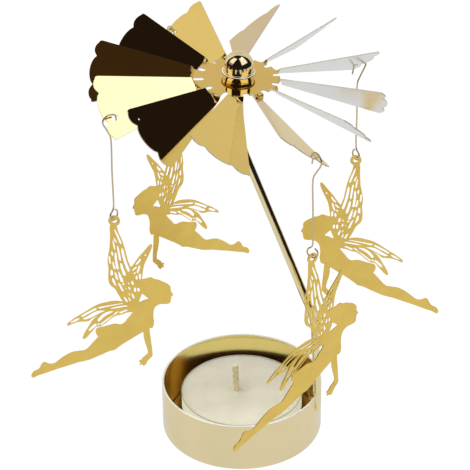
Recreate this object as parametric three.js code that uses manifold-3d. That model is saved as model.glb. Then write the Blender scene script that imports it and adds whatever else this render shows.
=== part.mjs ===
// Candle carousel: a pressed metal cup for a tealight, a bent rod clipped to
// the cup's rim, and a twelve-blade sheet rotor that turns on a needle above
// the flame.  Four flat winged charms hang from wire hooks in the blades.
// Millimetres, +Z up, origin at the centre of the cup's flat underside.
import * as THREE from 'three';
import { mergeVertices } from 'three/addons/utils/BufferGeometryUtils.js';
import Module from 'manifold-3d';

const wasm = await Module();
wasm.setup();

// ---------------------------------------------------------------- dimensions
const CUP_R = 25.0;            // outer radius of the cup
const CUP_H = 16.86;           // height of the cup
const CUP_WALL = 0.6;
const CUP_EDGE = 1.1;          // rounding where the wall meets the base

const FOIL_R = 19.15;          // tealight, standard 38 mm size
const FOIL_Z0 = 0.9, FOIL_Z1 = 12.75, FOIL_T = 0.3;
const WAX_R = 18.5, WAX_Z0 = 2.4, WAX_Z1 = 12.15;
const TAB_R = 6.5, TAB_Z0 = 1.5, TAB_Z1 = 2.0;
const WICK_X = -1.7, WICK_R = 0.95, WICK_Z1 = 22.6, WICK_BORE = 1.3;

const ROD_R = 1.25;            // stem: 2.5 mm round rod
const LEG_AZ = -22;            // where the stem stands on the rim, degrees
const LEG_R = 25.55;           // radius of the leg's axis at the rim
const LEG_BEND = [24.2, 45.2]; // radius and height of the lower bend
const TOP_BEND_Z = 103.0;      // height where the rod reaches the middle
const ROD_TOP_Z = 118.5;
const FOOT_Z = 11.2;           // lowest point of the stem's outer prong
const CROTCH_Z = 17.3;         // top of the slot that sits over the rim

const HUB_Z = 124.31;          // middle of the rotor sheet at the hub
const TIP_DZ = 4.3;            // needle point above the sheet
const NEEDLE_R = 0.6;
const LEAN = 2.92;             // the hanging rotor leans this far to +X, degrees

const SHEET_T = 0.4;           // rotor sheet
const BLADES = 12;
const BLADE_AZ0 = 203.43;      // azimuth of blade 0, degrees
const BORE_R = 2.9;            // hole for the hub
const SLIT_R = 10.2;           // inner end of the slits between blades
const FOLD = 0.5;              // half of the width over which a blade folds to its pitch
const CORNER_R = 41.4;         // radius at which each blade's set is measured
// how far a blade's edges stand off the middle lines between blades, on the
// side towards the next blade and the one before
const EDGE_P = 0.4, EDGE_N = 1.35;
// each blade's pitch, droop and sideways set in degrees, and the radius of its
// fold (bent by hand)
const BLADE_SET = [
  [36.6, 2.4, 1.2, 13.4], [38.9, 3.4, -0.6, 13.2], [33.3, 3.3, -1.2, 12.4], [38.3, 3.5, 2.0, 11.9],
  [41.2, 3.5, -0.2, 12.3], [44.8, 6.2, 1.0, 12.2], [41.1, 2.4, 0.4, 12.2], [47.0, 2.1, 1.0, 12.0],
  [43.2, 3.4, -1.4, 12.0], [42.9, 3.1, 2.2, 12.3], [39.0, 3.1, -1.0, 12.7], [34.8, 2.5, -0.4, 13.5]];
// half of a blade's scalloped tip, after its sharp corner at TIP_R: [radius,
// part of the corner's angle], then [radius, degrees from the blade's middle]
const TIP_R = 41.0;
const SIDE_LOBE = [[43.0, 0.92], [43.6, 0.75], [43.2, 0.57], [42.4, 0.457]];
const MID_LOBE = [[42.9, 5.4], [43.35, 3.6], [43.58, 1.8], [43.65, 0]];
// holes in the blades: [along, across, radius], by blade
const HOOK_HOLES = { 0: [39.8, 4.1, 1.0], 3: [39.4, 5.8, 1.0], 6: [39.8, 4.1, 1.0], 9: [39.8, 3.1, 1.0] };
const SPARE_HOLES = { 1: [40.4, -5.7, 0.3] };

const HOOK_BLADES = [0, 9, 6, 3];
const WIRE_R = 0.25;
const LOOP_R = 1.65;
// charms: where each ring hangs, and how each charm is turned
const RINGS = [[-36.8, -19.31, 87.74, -6.0], [-19.92, 36.06, 88.97, 214.3],
  [35.68, 19.64, 84.75, 182.7], [20.44, -35.09, 84.14, 33.0]];
const LOOP_TURN = [58, 58, -58, -58];  // lower loop's plane against its charm
const CHARM_T = 0.35;
const RING_R = 1.75, RING_HOLE = 0.85;

const rad = d => d * Math.PI / 180;
const V3 = (x, y, z) => new THREE.Vector3(x, y, z);

// ----------------------------------------------------------------- materials
const brass = (c, r) => new THREE.MeshStandardMaterial({ color: c, metalness: 1, roughness: r });
const MAT = {
  cup: brass(0xd9c483, 0.12), stem: brass(0xcdb777, 0.12), rotor: brass(0xd6b45e, 0.06),
  hub: brass(0xdcb964, 0.08), charm: brass(0xdebb66, 0.35), wire: brass(0xa89a78, 0.3),
  steel: new THREE.MeshStandardMaterial({ color: 0xb9bcc0, metalness: 1, roughness: 0.25 }),
  foil: new THREE.MeshStandardMaterial({ color: 0xd4d5d6, metalness: 1, roughness: 0.3 }),
  wax: new THREE.MeshStandardMaterial({ color: 0xefe9e0, metalness: 0, roughness: 0.5 }),
  wick: new THREE.MeshStandardMaterial({ color: 0xe9dfb4, metalness: 0, roughness: 0.9 }),
};

const group = new THREE.Group();
function add(name, geometry, material, parent = group) {
  const m = new THREE.Mesh(geometry, material);
  m.name = name;
  parent.add(m);
  return m;
}

// ------------------------------------------------------------ solids, joined
function solid(g) {
  g = g.clone();
  for (const k of Object.keys(g.attributes)) if (k !== 'position') g.deleteAttribute(k);
  g = mergeVertices(g, 1e-4);
  return new wasm.Manifold(new wasm.Mesh({ numProp: 3,
    vertProperties: new Float32Array(g.attributes.position.array),
    triVerts: new Uint32Array(g.index.array) }));
}
function geometryOf(man) {
  const m = man.getMesh();
  const g = new THREE.BufferGeometry();
  g.setAttribute('position', new THREE.BufferAttribute(new Float32Array(m.vertProperties), 3));
  g.setIndex(new THREE.BufferAttribute(new Uint32Array(m.triVerts), 1));
  g.computeVertexNormals();
  return g;
}

// a round body from a profile of [radius, height], turned about Z
function turned(profile, segments) {
  const pts = profile.map(p => new THREE.Vector2(p[0], p[1]));
  const g = new THREE.LatheGeometry(pts, segments);
  g.rotateX(Math.PI / 2);      // the lathe's Y axis becomes Z
  return g;
}
function ring2(profile) { return [...profile, profile[0]]; }

// a route through given points, with a section exactly at each point
class Route extends THREE.Curve {
  constructor(points) { super(); this.points = points; }
  getPoint(t, out = new THREE.Vector3()) {
    const n = this.points.length - 1, f = Math.min(Math.max(t, 0), 1) * n;
    const i = Math.min(Math.floor(f + 1e-9), n - 1);
    return out.copy(this.points[i]).lerp(this.points[i + 1], f - i);
  }
  getPointAt(u, out) { return this.getPoint(u, out); }
  getTangent(t, out = new THREE.Vector3()) {
    const n = this.points.length - 1, i = Math.round(t * n);
    const a = this.points[Math.max(i - 1, 0)], b = this.points[i], c = this.points[Math.min(i + 1, n)];
    const d1 = b.clone().sub(a), d2 = c.clone().sub(b);
    if (d1.length() > 1e-9) d1.normalize();
    if (d2.length() > 1e-9) d2.normalize();
    return out.copy(d1.add(d2).normalize());
  }
  getTangentAt(u, out) { return this.getTangent(u, out); }
}
function wireAlong(points, radius, sides) {
  const s = new THREE.Shape();
  for (let i = 0; i < sides; i++) {
    const a = 2 * Math.PI * (i + 0.5) / sides;
    if (i) s.lineTo(radius * Math.cos(a), radius * Math.sin(a));
    else s.moveTo(radius * Math.cos(a), radius * Math.sin(a));
  }
  return new THREE.ExtrudeGeometry(s, { steps: points.length - 1, extrudePath: new Route(points), bevelEnabled: false });
}
// round off a corner of a polyline with an arc-like bend of n points
function bend(a, b, c, size, n) {
  const p = b.clone().add(a.clone().sub(b).setLength(size));
  const q = b.clone().add(c.clone().sub(b).setLength(size));
  return new THREE.QuadraticBezierCurve3(p, b.clone(), q).getPoints(n);
}

// ======================================================================= cup
{
  const edge = (r, z, rho, a0, a1, n) => Array.from({ length: n + 1 }, (_, i) => {
    const a = rad(a0 + (a1 - a0) * i / n);
    return [r + rho * Math.cos(a), z + rho * Math.sin(a)];
  });
  const wi = CUP_R - CUP_WALL;
  const profile = [
    [0, 0],
    ...edge(CUP_R - CUP_EDGE, CUP_EDGE, CUP_EDGE, -90, 0, 3),
    [CUP_R, CUP_H - 0.15], [CUP_R - 0.15, CUP_H], [wi + 0.15, CUP_H], [wi, CUP_H - 0.15],
    ...edge(wi - 0.6, CUP_WALL + 0.6, 0.6, 0, -90, 2),
    [0, CUP_WALL]];
  add('cup', turned(profile, 56), MAT.cup);
}

// ================================================================== tealight
{
  const t = FOIL_T;
  add('tealight_cup', turned([
    [0, FOIL_Z0], [FOIL_R - 0.9, FOIL_Z0], [FOIL_R - 0.35, FOIL_Z0 + 0.5], [FOIL_R, FOIL_Z1], [FOIL_R - t, FOIL_Z1],
    [FOIL_R - 0.35 - t, FOIL_Z0 + t + 0.35], [FOIL_R - 1.1, FOIL_Z0 + t], [0, FOIL_Z0 + t]], 48), MAT.foil);
  add('wick_tab', turned([[0, TAB_Z0], [TAB_R, TAB_Z0], [TAB_R, TAB_Z1], [0, TAB_Z1]], 20), MAT.steel);
  const bore = new THREE.CylinderGeometry(WICK_BORE, WICK_BORE, WAX_Z1 + 2, 16);
  bore.rotateX(Math.PI / 2);
  bore.translate(WICK_X, 0, WAX_Z1 / 2 + 1);
  const block = turned([
    [0, WAX_Z0], [WAX_R - 0.9, WAX_Z0], [WAX_R - 0.35, WAX_Z0 + 0.5], [WAX_R, WAX_Z1 - 0.15], [WAX_R - 0.35, WAX_Z1],
    [0, WAX_Z1]], 48);
  add('wax', geometryOf(solid(block).subtract(solid(bore))), MAT.wax);
  const lean = [V3(WICK_X, 0, TAB_Z1 + 0.3), V3(WICK_X, 0, WAX_Z1 + 1.5), V3(WICK_X - 0.1, 0, WAX_Z1 + 5), V3(WICK_X - 0.3, -0.1, WICK_Z1)];
  add('wick', wireAlong(lean, WICK_R, 8), MAT.wick);
}

// ====================================================================== stem
{
  const a = rad(LEG_AZ);
  const at = (r, z) => V3(r * Math.cos(a), r * Math.sin(a), z);
  const foot = at(LEG_R, FOOT_Z), knee0 = at(LEG_R, CUP_H + 3), knee = at(...LEG_BEND), top = V3(0, 0, TOP_BEND_Z);
  const end = V3(0, 0, ROD_TOP_Z);
  const pts = [foot, knee0, ...bend(knee0, knee, top, 4.5, 4), ...bend(knee, top, end, 5, 4), end];
  let rod = solid(wireAlong(pts, ROD_R, 12));
  // the slot that straddles the rim leaves the outer prong only
  const slot = new THREE.BoxGeometry(3.0, 6, CROTCH_Z + 10);
  slot.translate(CUP_R + 0.3 - 1.5, 0, (CROTCH_Z - 10) / 2);
  slot.rotateZ(a);
  // the prong's lower end is bevelled towards the cup
  const bevel = new THREE.BoxGeometry(4, 6, 4);
  bevel.rotateY(rad(38));
  bevel.translate(CUP_R + 2.75, 0, FOOT_Z - 1.75);
  bevel.rotateZ(a);
  rod = rod.subtract(solid(slot)).subtract(solid(bevel));
  add('stem', geometryOf(rod), MAT.stem);

  // spring tongue inside the rim, on the rod's inner side, with a curled end
  const line = [[23.55, 25.2], [23.55, 20.6], [23.0, 19.0], [22.9, 16.6], [23.1, 15.2], [23.55, 14.5]];
  const th = 0.6, left = [], right = [];
  for (let i = 0; i < line.length; i++) {
    const p = line[Math.max(i - 1, 0)], q = line[Math.min(i + 1, line.length - 1)];
    let dx = q[0] - p[0], dz = q[1] - p[1];
    const l = Math.hypot(dx, dz); dx /= l; dz /= l;
    left.push(new THREE.Vector2(line[i][0] - dz * th / 2, line[i][1] + dx * th / 2));
    right.push(new THREE.Vector2(line[i][0] + dz * th / 2, line[i][1] - dx * th / 2));
  }
  const tongue = new THREE.ExtrudeGeometry(new THREE.Shape([...left, ...right.reverse()]), { depth: 2.0, bevelEnabled: false });
  tongue.translate(0, 0, -1.0);
  tongue.rotateX(Math.PI / 2);
  tongue.rotateZ(a);
  add('rim_clip', tongue, MAT.stem);
}
add('pivot_needle', turned([[0, ROD_TOP_Z + 0.3], [NEEDLE_R, ROD_TOP_Z + 0.3], [NEEDLE_R, HUB_Z + TIP_DZ - 3.3],
  [0.12, HUB_Z + TIP_DZ - 0.35], [0, HUB_Z + TIP_DZ - 0.3]], 14), MAT.steel);

// ===================================================================== rotor
// The rotor hangs from the needle's point and leans about it.
const rotorGroup = new THREE.Group();
rotorGroup.position.set(0, 0, HUB_Z + TIP_DZ);
rotorGroup.rotation.y = rad(LEAN);
group.add(rotorGroup);

// bent position of a point of the flat sheet, in the frame of the hub's centre
function bladeFrame(k) {
  const phi = rad(BLADE_AZ0 + 360 / BLADES * k), [pitch, droop, side] = BLADE_SET[k].map(rad);
  const r0 = BLADE_SET[k][3] - FOLD;
  const ur = V3(Math.cos(phi), Math.sin(phi), 0), ut = V3(-Math.sin(phi), Math.cos(phi), 0);
  return (r, h, off = 0) => {
    let s = Math.min(Math.max((r - r0) / (2 * FOLD), 0), 1);
    s = s * s * (3 - 2 * s);
    const p = -pitch * s, g = Math.max(r - r0, 0) / (CORNER_R - r0);
    const zc = -CORNER_R * Math.sin(droop) * g, tc = CORNER_R * Math.sin(side) * g;
    return V3(0, 0, 0).addScaledVector(ur, r).addScaledVector(ut, tc + h * Math.cos(p) - off * Math.sin(p))
      .setZ(zc + h * Math.sin(p) + off * Math.cos(p));
  };
}
{
  const flat = [], faces = [];           // flat: [k, along, across]
  const put = (k, r, h) => flat.push([k, r, h]) - 1;
  const edge = (r, side) => r * Math.tan(rad(15)) - (side > 0 ? EDGE_P : EDGE_N) / Math.cos(rad(15));
  const quad = (a, b, c, d) => { faces.push([a, b, c], [a, c, d]); };
  const turn = w => 15 - Math.asin(w / SLIT_R) * 180 / Math.PI;
  const angles = [-turn(EDGE_N), -4, 0, 6.5, turn(EDGE_P)];
  // hub disc: three rings of five points to each blade
  const rings = [BORE_R, 6.8, SLIT_R].map(R => {
    const row = [];
    for (let k = 0; k < BLADES; k++) for (const a of angles) row.push(put(k, R * Math.cos(rad(a)), R * Math.sin(rad(a))));
    return row;
  });
  const N = rings[0].length;
  for (let j = 0; j < 2; j++) for (let i = 0; i < N; i++) {
    const i2 = (i + 1) % N;
    quad(rings[j][i], rings[j + 1][i], rings[j + 1][i2], rings[j][i2]);
  }
  for (let k = 0; k < BLADES; k++) {
    let row = angles.map((_, i) => rings[2][k * 5 + i]);
    for (const q of [-1, -0.4, 0, 0.4, 1]) {
      const r = BLADE_SET[k][3] + q * FOLD, lo = -edge(r, -1), hi = edge(r, 1);
      const next = [lo, lo / 2, 0, hi / 2, hi].map(h => put(k, r, h));
      for (let i = 0; i < 4; i++) quad(row[i], next[i], next[i + 1], row[i + 1]);
      row = next;
    }
    // the flat of the blade with its scalloped tip and its holes
    const outline = row.map(i => ({ i, p: new THREE.Vector2(flat[i][1], flat[i][2]) }));
    const half = side => {
      const c = edge(TIP_R, side), full = Math.atan2(c, TIP_R) * 180 / Math.PI, notch = SIDE_LOBE[SIDE_LOBE.length - 1][1] * full;
      return [[Math.hypot(TIP_R, c), full], ...SIDE_LOBE.map(([R, q]) => [R, q * full]), ...MID_LOBE.map(([R, a]) => [R, a * notch / 6.6])];
    };
    const tip = [...half(1), ...half(-1).slice(0, -1).reverse().map(([R, a]) => [R, -a])];
    for (const [R, a] of tip) {
      const x = R * Math.cos(rad(a)), y = R * Math.sin(rad(a));
      outline.push({ i: put(k, x, y), p: new THREE.Vector2(x, y) });
    }
    const holes = [];
    const spec = HOOK_HOLES[k] ?? SPARE_HOLES[k];
    if (spec) {
      const n = spec[2] < 0.5 ? 8 : 12, h = [];
      for (let i = 0; i < n; i++) {
        const a = -2 * Math.PI * i / n, x = spec[0] + spec[2] * Math.cos(a), y = spec[1] + spec[2] * Math.sin(a);
        h.push({ i: put(k, x, y), p: new THREE.Vector2(x, y) });
      }
      holes.push(h);
    }
    // root row runs from -across to +across, so the outline closes clockwise; flip it
    outline.reverse();
    const all = [...outline, ...holes.flat()];
    for (const f of THREE.ShapeUtils.triangulateShape(outline.map(o => o.p), holes.map(h => h.map(o => o.p)))) {
      const [a, b, c] = f.map(j => all[j]);
      const area = (b.p.x - a.p.x) * (c.p.y - a.p.y) - (b.p.y - a.p.y) * (c.p.x - a.p.x);
      if (Math.abs(area) < 1e-9) continue;
      faces.push(area > 0 ? [a.i, b.i, c.i] : [a.i, c.i, b.i]);
    }
  }
  // give the sheet its thickness: upper face, lower face and every free edge
  const frames = Array.from({ length: BLADES }, (_, k) => bladeFrame(k));
  const pos = [];
  for (const [k, r, h] of flat) pos.push(...frames[k](r, h, SHEET_T / 2).toArray());
  for (const [k, r, h] of flat) pos.push(...frames[k](r, h, -SHEET_T / 2).toArray());
  const n = flat.length, index = [], edges = new Map();
  for (const [a, b, c] of faces) {
    index.push(a, b, c, a + n, c + n, b + n);
    for (const [p, q] of [[a, b], [b, c], [c, a]]) edges.set(p + '_' + q, [p, q]);
  }
  for (const [key, [p, q]] of edges) if (!edges.has(q + '_' + p)) index.push(p, q + n, q, p, p + n, q + n);
  const g = new THREE.BufferGeometry();
  g.setAttribute('position', new THREE.BufferAttribute(new Float32Array(pos), 3));
  g.setIndex(index);
  g.translate(0, 0, -TIP_DZ);
  g.computeVertexNormals();
  add('rotor', g, MAT.rotor, rotorGroup);
}

// hub: beaded ring and hollow domed cap on the sheet, bearing socket inside,
// heights measured from the middle of the sheet
{
  const up = profile => profile.map(([r, z]) => [r, z - TIP_DZ]);
  const t = SHEET_T / 2;
  const bead = [[4.55, t + 0.3], [4.85, t + 0.3], [4.85, t + 1.3], [4.96, t + 1.5], [4.96, t + 1.75], [4.85, t + 1.86], [4.55, t + 1.86]];
  add('hub_ring', turned(ring2(up(bead)), 32), MAT.hub, rotorGroup);
  const zc = 4.0, R = 4.25, r = 3.55, z0 = t + 0.3;
  const arc = (rr, a0, a1, n) => Array.from({ length: n + 1 }, (_, i) => {
    const a = rad(a0 + (a1 - a0) * i / n);
    return [rr * Math.cos(a), zc + rr * Math.sin(a)];
  });
  const dome = [[r, z0], [R, z0], ...arc(R, 0, 90, 7).slice(0, -1), [0, zc + R], [0, zc + r], ...arc(r, 90, 0, 5).slice(1)];
  add('hub_cap', turned(ring2(up(dome)), 32), MAT.hub, rotorGroup);
  const socket = [[1.6, -t - 1.2], [4.2, -t - 1.2], [4.2, -t - 0.7], [2.5, -t - 0.3], [2.5, 3.75], [1.7, 4.75],
    [0, 4.9], [0, TIP_DZ + 0.1], [0.9, TIP_DZ - 2.0], [1.35, TIP_DZ - 3.2]];
  add('bearing_socket', turned(ring2(up(socket)), 24), MAT.steel, rotorGroup);
}

// ========================================================= hooks and charms
// outline of a charm, [x, z] from the middle of its ring, in millimetres
const soften = (pts, closed = true) => {     // one pass of corner cutting
  const out = [];
  for (let i = 0; i < pts.length; i++) {
    const a = pts[i], b = pts[(i + 1) % pts.length];
    out.push([a[0] * 0.75 + b[0] * 0.25, a[1] * 0.75 + b[1] * 0.25], [a[0] * 0.25 + b[0] * 0.75, a[1] * 0.25 + b[1] * 0.75]);
  }
  return out;
};
const FIGURE = [   // legs, back, neck, head with hair, chest, arm
  [-27.9, -57.4], [-26.6, -55.2], [-24.9, -54.2], [-24.6, -52.6], [-23.4, -51.9], [-21.0, -52.4], [-18.0, -50.3],
  [-15.2, -47.8], [-11.2, -46.6], [-8.6, -43.9], [-6.6, -41.2], [-7.3, -39.2], [-6.2, -38.2], [-2.2, -36.4], [0.6, -36.2],
  [2.6, -34.2], [4.4, -31.6], [5.6, -29.6], [7.0, -28.2], [9.0, -27.0], [8.0, -25.6], [6.2, -23.6], [5.8, -20.9], [8.2, -20.2],
  [10.4, -19.3], [13.0, -20.0], [15.2, -21.4], [16.2, -23.6], [16.5, -25.6], [15.9, -27.4], [14.4, -28.2], [12.6, -28.7],
  [11.2, -30.0], [11.1, -32.2], [10.7, -34.0], [10.8, -36.4], [9.7, -38.2], [9.2, -40.8], [9.8, -44.6], [9.9, -47.4],
  [8.6, -49.4], [7.9, -51.2], [6.2, -51.2], [5.4, -49.9], [6.6, -48.8], [8.4, -47.2], [8.6, -44.8], [7.9, -42.0],
  [7.4, -39.1], [3.4, -41.7], [-1.4, -45.3], [-5.4, -47.8], [-9.4, -50.2], [-15.2, -52.4], [-21.0, -55.0], [-25.4, -57.2]];
const WING_A = [[-1.3, -1.2], [-1.5, -6.0], [-1.7, -9.8], [-2.5, -13.0], [-2.6, -18.0], [-2.4, -21.2], [-0.8, -23.8], [1.4, -27.6],
  [3.6, -31.0], [6.4, -30.0], [7.6, -26.4], [7.4, -22.0], [6.0, -19.6], [4.9, -17.0], [4.2, -14.8], [3.2, -11.0], [2.2, -7.2], [1.2, -4.4], [0.6, -1.2]];
const WING_A_CELLS = [
  [[-0.4, -4.0], [0.3, -4.6], [1.6, -8.6], [2.4, -12.4], [1.3, -11.6], [0.2, -8.0]],
  [[-0.9, -6.6], [-0.2, -8.8], [0.8, -12.6], [1.2, -16.6], [0.2, -15.8], [-0.9, -11.6]],
  [[2.0, -13.2], [2.9, -13.6], [3.8, -17.0], [4.2, -19.4], [2.9, -18.4]],
  [[-1.8, -13.6], [-1.1, -13.8], [-0.4, -17.4], [-0.8, -20.6], [-1.9, -18.0]],
  [[0.2, -17.0], [1.3, -17.8], [2.9, -22.2], [2.6, -24.6], [0.6, -21.2]],
  [[-1.6, -20.8], [-0.7, -21.8], [1.0, -24.8], [2.9, -28.6], [1.4, -26.8], [-0.6, -23.2]],
  [[2.2, -19.2], [4.0, -20.6], [4.4, -23.2], [3.4, -22.8]],
  [[3.4, -24.8], [4.6, -24.6], [4.9, -27.8], [4.1, -28.2]]];
const WING_B = [[10.9, -7.6], [10.9, -8.6], [9.6, -11.0], [8.6, -13.8], [8.0, -16.6], [7.7, -20.6], [5.6, -21.6], [4.2, -19.0], [4.4, -16.4],
  [6.2, -13.6], [8.0, -11.0], [10.1, -7.8]];
const WING_B_CELLS = [
  [[9.3, -9.9], [8.6, -11.8], [7.6, -14.6], [6.6, -15.2], [7.4, -12.8]],
  [[6.0, -14.8], [6.6, -15.9], [5.8, -18.2], [5.0, -17.2]],
  [[7.4, -15.8], [7.1, -19.0], [6.3, -19.6], [6.7, -16.6]]];
const WING_C = [[4.4, -30.4], [1.4, -28.8], [-1.0, -28.4], [-3.6, -28.9], [-6.2, -30.0], [-8.6, -31.9], [-11.4, -34.0], [-14.2, -36.3],
  [-15.8, -37.5], [-14.4, -37.6], [-11.8, -36.8], [-9.2, -36.3], [-6.4, -35.0], [-2.6, -33.2], [1.4, -31.9], [4.4, -31.6]];
const WING_C_CELLS = [
  [[1.2, -29.8], [-1.2, -29.2], [-4.6, -30.2], [-4.2, -31.2], [-0.8, -30.7]],
  [[-5.6, -30.8], [-8.2, -32.9], [-11.2, -35.3], [-8.6, -35.2], [-5.6, -33.4]],
  [[1.6, -30.9], [-1.6, -31.4], [-4.4, -32.2], [-3.6, -33.2], [-0.2, -32.0]]];
const WING_D = [[3.8, -31.0], [-1.0, -32.2], [-5.0, -34.0], [-8.0, -36.4], [-10.0, -39.4], [-11.2, -42.2], [-10.2, -41.8], [-8.0, -39.8],
  [-6.0, -38.9], [-4.6, -37.4], [-2.4, -35.4], [1.0, -33.6], [4.6, -32.4]];
const WING_D_CELLS = [
  [[-5.4, -35.2], [-8.0, -37.6], [-9.6, -40.2], [-7.6, -38.9], [-5.6, -37.0]],
  [[-0.4, -32.9], [-4.6, -34.7], [-4.2, -36.0], [-1.6, -34.4]]];

const prism = (pts, depth) => solid(new THREE.ExtrudeGeometry(new THREE.Shape(pts.map(p => new THREE.Vector2(...p))),
  { depth, bevelEnabled: false }));
const plate = (outline, cells = [], smooth = true) => {
  let s = prism(smooth ? soften(outline) : outline, CHARM_T);
  for (const c of cells) s = s.subtract(prism(c, CHARM_T + 2).translate([0, 0, -1]));
  return s;
};
const disc = (x, y, r, n) => Array.from({ length: n }, (_, i) => [x + r * Math.cos(2 * Math.PI * i / n), y + r * Math.sin(2 * Math.PI * i / n)]);
let charm = plate(FIGURE).add(plate(WING_A, WING_A_CELLS)).add(plate(WING_B, WING_B_CELLS))
  .add(plate(WING_C, WING_C_CELLS)).add(plate(WING_D, WING_D_CELLS)).add(plate(disc(0, 0, RING_R, 16), [], false));
charm = charm.subtract(prism(disc(0, 0, RING_HOLE, 12), CHARM_T + 2).translate([0, 0, -1]));
const charmGeometry = geometryOf(charm);
charmGeometry.translate(0, 0, -CHARM_T / 2);
charmGeometry.rotateX(Math.PI / 2);          // the plate stands upright, in X and Z

rotorGroup.updateMatrixWorld(true);
RINGS.forEach(([x, y, z, turn], i) => {
  const name = i + 1, k = HOOK_BLADES[i];
  const fairy = add('fairy_' + name, charmGeometry.clone(), MAT.charm);
  fairy.position.set(x, y, z);
  fairy.rotation.z = rad(turn);

  // the hook's upper end goes up through the blade's hole, over the blade's
  // edge and back in under it; [outward, up] from the hole
  const hole = bladeFrame(k)(...HOOK_HOLES[k].slice(0, 2)).add(V3(0, 0, -TIP_DZ)).applyMatrix4(rotorGroup.matrixWorld);
  const az = Math.atan2(hole.y, hole.x), out = V3(Math.cos(az), Math.sin(az), 0), upv = V3(0, 0, 1);
  const at = (a, h) => hole.clone().addScaledVector(out, a).addScaledVector(upv, h);
  const crook = [[-0.9, -2.9], [-0.55, -1.5], [-0.3, -0.3], [-0.1, 0.7], [0.5, 1.5], [1.5, 1.8], [2.7, 1.6], [3.7, 0.9], [4.1, -0.1],
    [3.9, -1.2], [3.2, -2.3]].map(p => at(...p));
  const shankTop = V3(x, y, hole.z - 6.5), last = crook[crook.length - 1];
  const mid = last.clone().lerp(shankTop, 0.55).add(V3(0, 0, 0.25));
  // lower loop, through the charm's ring
  const d = V3(Math.cos(rad(turn + LOOP_TURN[i])), Math.sin(rad(turn + LOOP_TURN[i])), 0);
  const zc = z + 0.3 + LOOP_R, lp = [];
  for (let j = 0; j <= 10; j++) {
    const a = rad(118 + (420 - 118) * j / 10);
    lp.push(V3(x, y, zc).addScaledVector(d, LOOP_R * Math.cos(a)).addScaledVector(upv, LOOP_R * Math.sin(a)));
  }
  const neck = V3(x, y, zc + LOOP_R + 1.0), neck2 = V3(x, y, zc + LOOP_R + 0.3).addScaledVector(d, -0.25);
  add('hook_' + name, wireAlong([...crook, mid, shankTop, neck, neck2, ...lp], WIRE_R, 8), MAT.wire);
});

export default group;
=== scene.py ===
import bpy
import math
import numpy as np
from mathutils import Matrix, Vector
from mathutils.geometry import delaunay_2d_cdt


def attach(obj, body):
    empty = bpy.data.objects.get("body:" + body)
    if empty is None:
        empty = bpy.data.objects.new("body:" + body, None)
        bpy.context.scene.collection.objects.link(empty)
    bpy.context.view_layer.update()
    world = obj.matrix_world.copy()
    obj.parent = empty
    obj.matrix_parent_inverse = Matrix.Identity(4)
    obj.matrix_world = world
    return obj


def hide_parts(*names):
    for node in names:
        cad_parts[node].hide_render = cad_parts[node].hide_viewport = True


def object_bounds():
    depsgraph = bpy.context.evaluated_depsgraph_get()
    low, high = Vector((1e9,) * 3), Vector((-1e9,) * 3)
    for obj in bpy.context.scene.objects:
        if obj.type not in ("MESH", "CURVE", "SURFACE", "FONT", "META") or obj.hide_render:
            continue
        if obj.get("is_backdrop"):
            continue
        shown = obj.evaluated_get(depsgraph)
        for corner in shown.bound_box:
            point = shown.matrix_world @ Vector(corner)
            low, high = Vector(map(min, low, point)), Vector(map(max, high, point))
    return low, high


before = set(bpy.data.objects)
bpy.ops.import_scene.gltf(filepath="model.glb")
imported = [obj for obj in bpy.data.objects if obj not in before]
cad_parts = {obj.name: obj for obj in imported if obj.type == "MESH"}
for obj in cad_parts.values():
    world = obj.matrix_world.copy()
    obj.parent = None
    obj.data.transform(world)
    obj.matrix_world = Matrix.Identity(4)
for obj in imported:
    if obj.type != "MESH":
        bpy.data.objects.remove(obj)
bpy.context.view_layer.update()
scene = bpy.context.scene
rad = math.radians
FLOOR = 0.68

# ------------------------------------------------------------------ dimensions
# the same numbers as in the CAD source, millimetres
CUP_R, CUP_H, CUP_WALL = 25.0, 16.86, 0.6
FOIL_R, FOIL_Z0, FOIL_Z1 = 19.15, 0.9, 12.75
WAX_R, WAX_Z0, WAX_Z1 = 18.5, 2.4, 12.15
WICK_X, WICK_R, WICK_Z1 = -1.7, 0.95, 22.6
ROD_R, LEG_AZ, LEG_R, LEG_BEND = 1.25, -22, 25.55, (24.2, 45.2)
TOP_BEND_Z, ROD_TOP_Z, FOOT_Z, CROTCH_Z = 103.0, 118.5, 11.2, 17.3
HUB_Z, TIP_DZ, NEEDLE_R, LEAN = 124.31, 4.3, 0.6, 2.92
SHEET_T, BLADES, BLADE_AZ0 = 0.34, 12, 203.43
BORE_R, SLIT_R, FOLD, CORNER_R = 2.9, 10.6, 0.5, 41.4
EDGE_P, EDGE_N = 0.4, 1.35                 # how far a blade's two edges stand off the lines between blades
# each blade's pitch, droop and sideways set in degrees, and the radius of its fold (bent by hand)
BLADE_SET = [
    (36.6, 2.4, 1.2, 13.4), (38.9, 3.4, -0.6, 13.2), (33.3, 3.3, -1.2, 12.4), (38.3, 3.5, 2.0, 11.9),
    (41.2, 3.5, -0.2, 12.3), (44.8, 6.2, 1.0, 12.2), (41.1, 2.4, 0.4, 12.2), (47.0, 2.1, 1.0, 12.0),
    (43.2, 3.4, -1.4, 12.0), (42.9, 3.1, 2.2, 12.3), (39.0, 3.1, -1.0, 12.7), (34.8, 2.5, -0.4, 13.5)]
TIP_R = 41.0                               # where the long edges end in a sharp corner
SIDE_LOBE = [(42.95, 0.93), (43.4, 0.84), (43.6, 0.74), (43.5, 0.635), (43.1, 0.555), (42.65, 0.495), (42.35, 0.457)]   # [R, part of 14.45 degrees]
MID_LOBE = [(42.35, 6.6), (42.8, 5.7), (43.15, 4.6), (43.4, 3.3), (43.58, 1.8), (43.65, 0.0)]
HOOK_HOLES = {0: (39.8, 4.1, 1.0), 3: (39.4, 5.8, 1.0), 6: (39.8, 4.1, 1.0), 9: (39.8, 3.1, 1.0)}
SPARE_HOLES = {1: (40.4, -5.7, 0.3)}
HOOK_BLADES = (0, 9, 6, 3)
WIRE_R, LOOP_R = 0.25, 1.65
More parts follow.
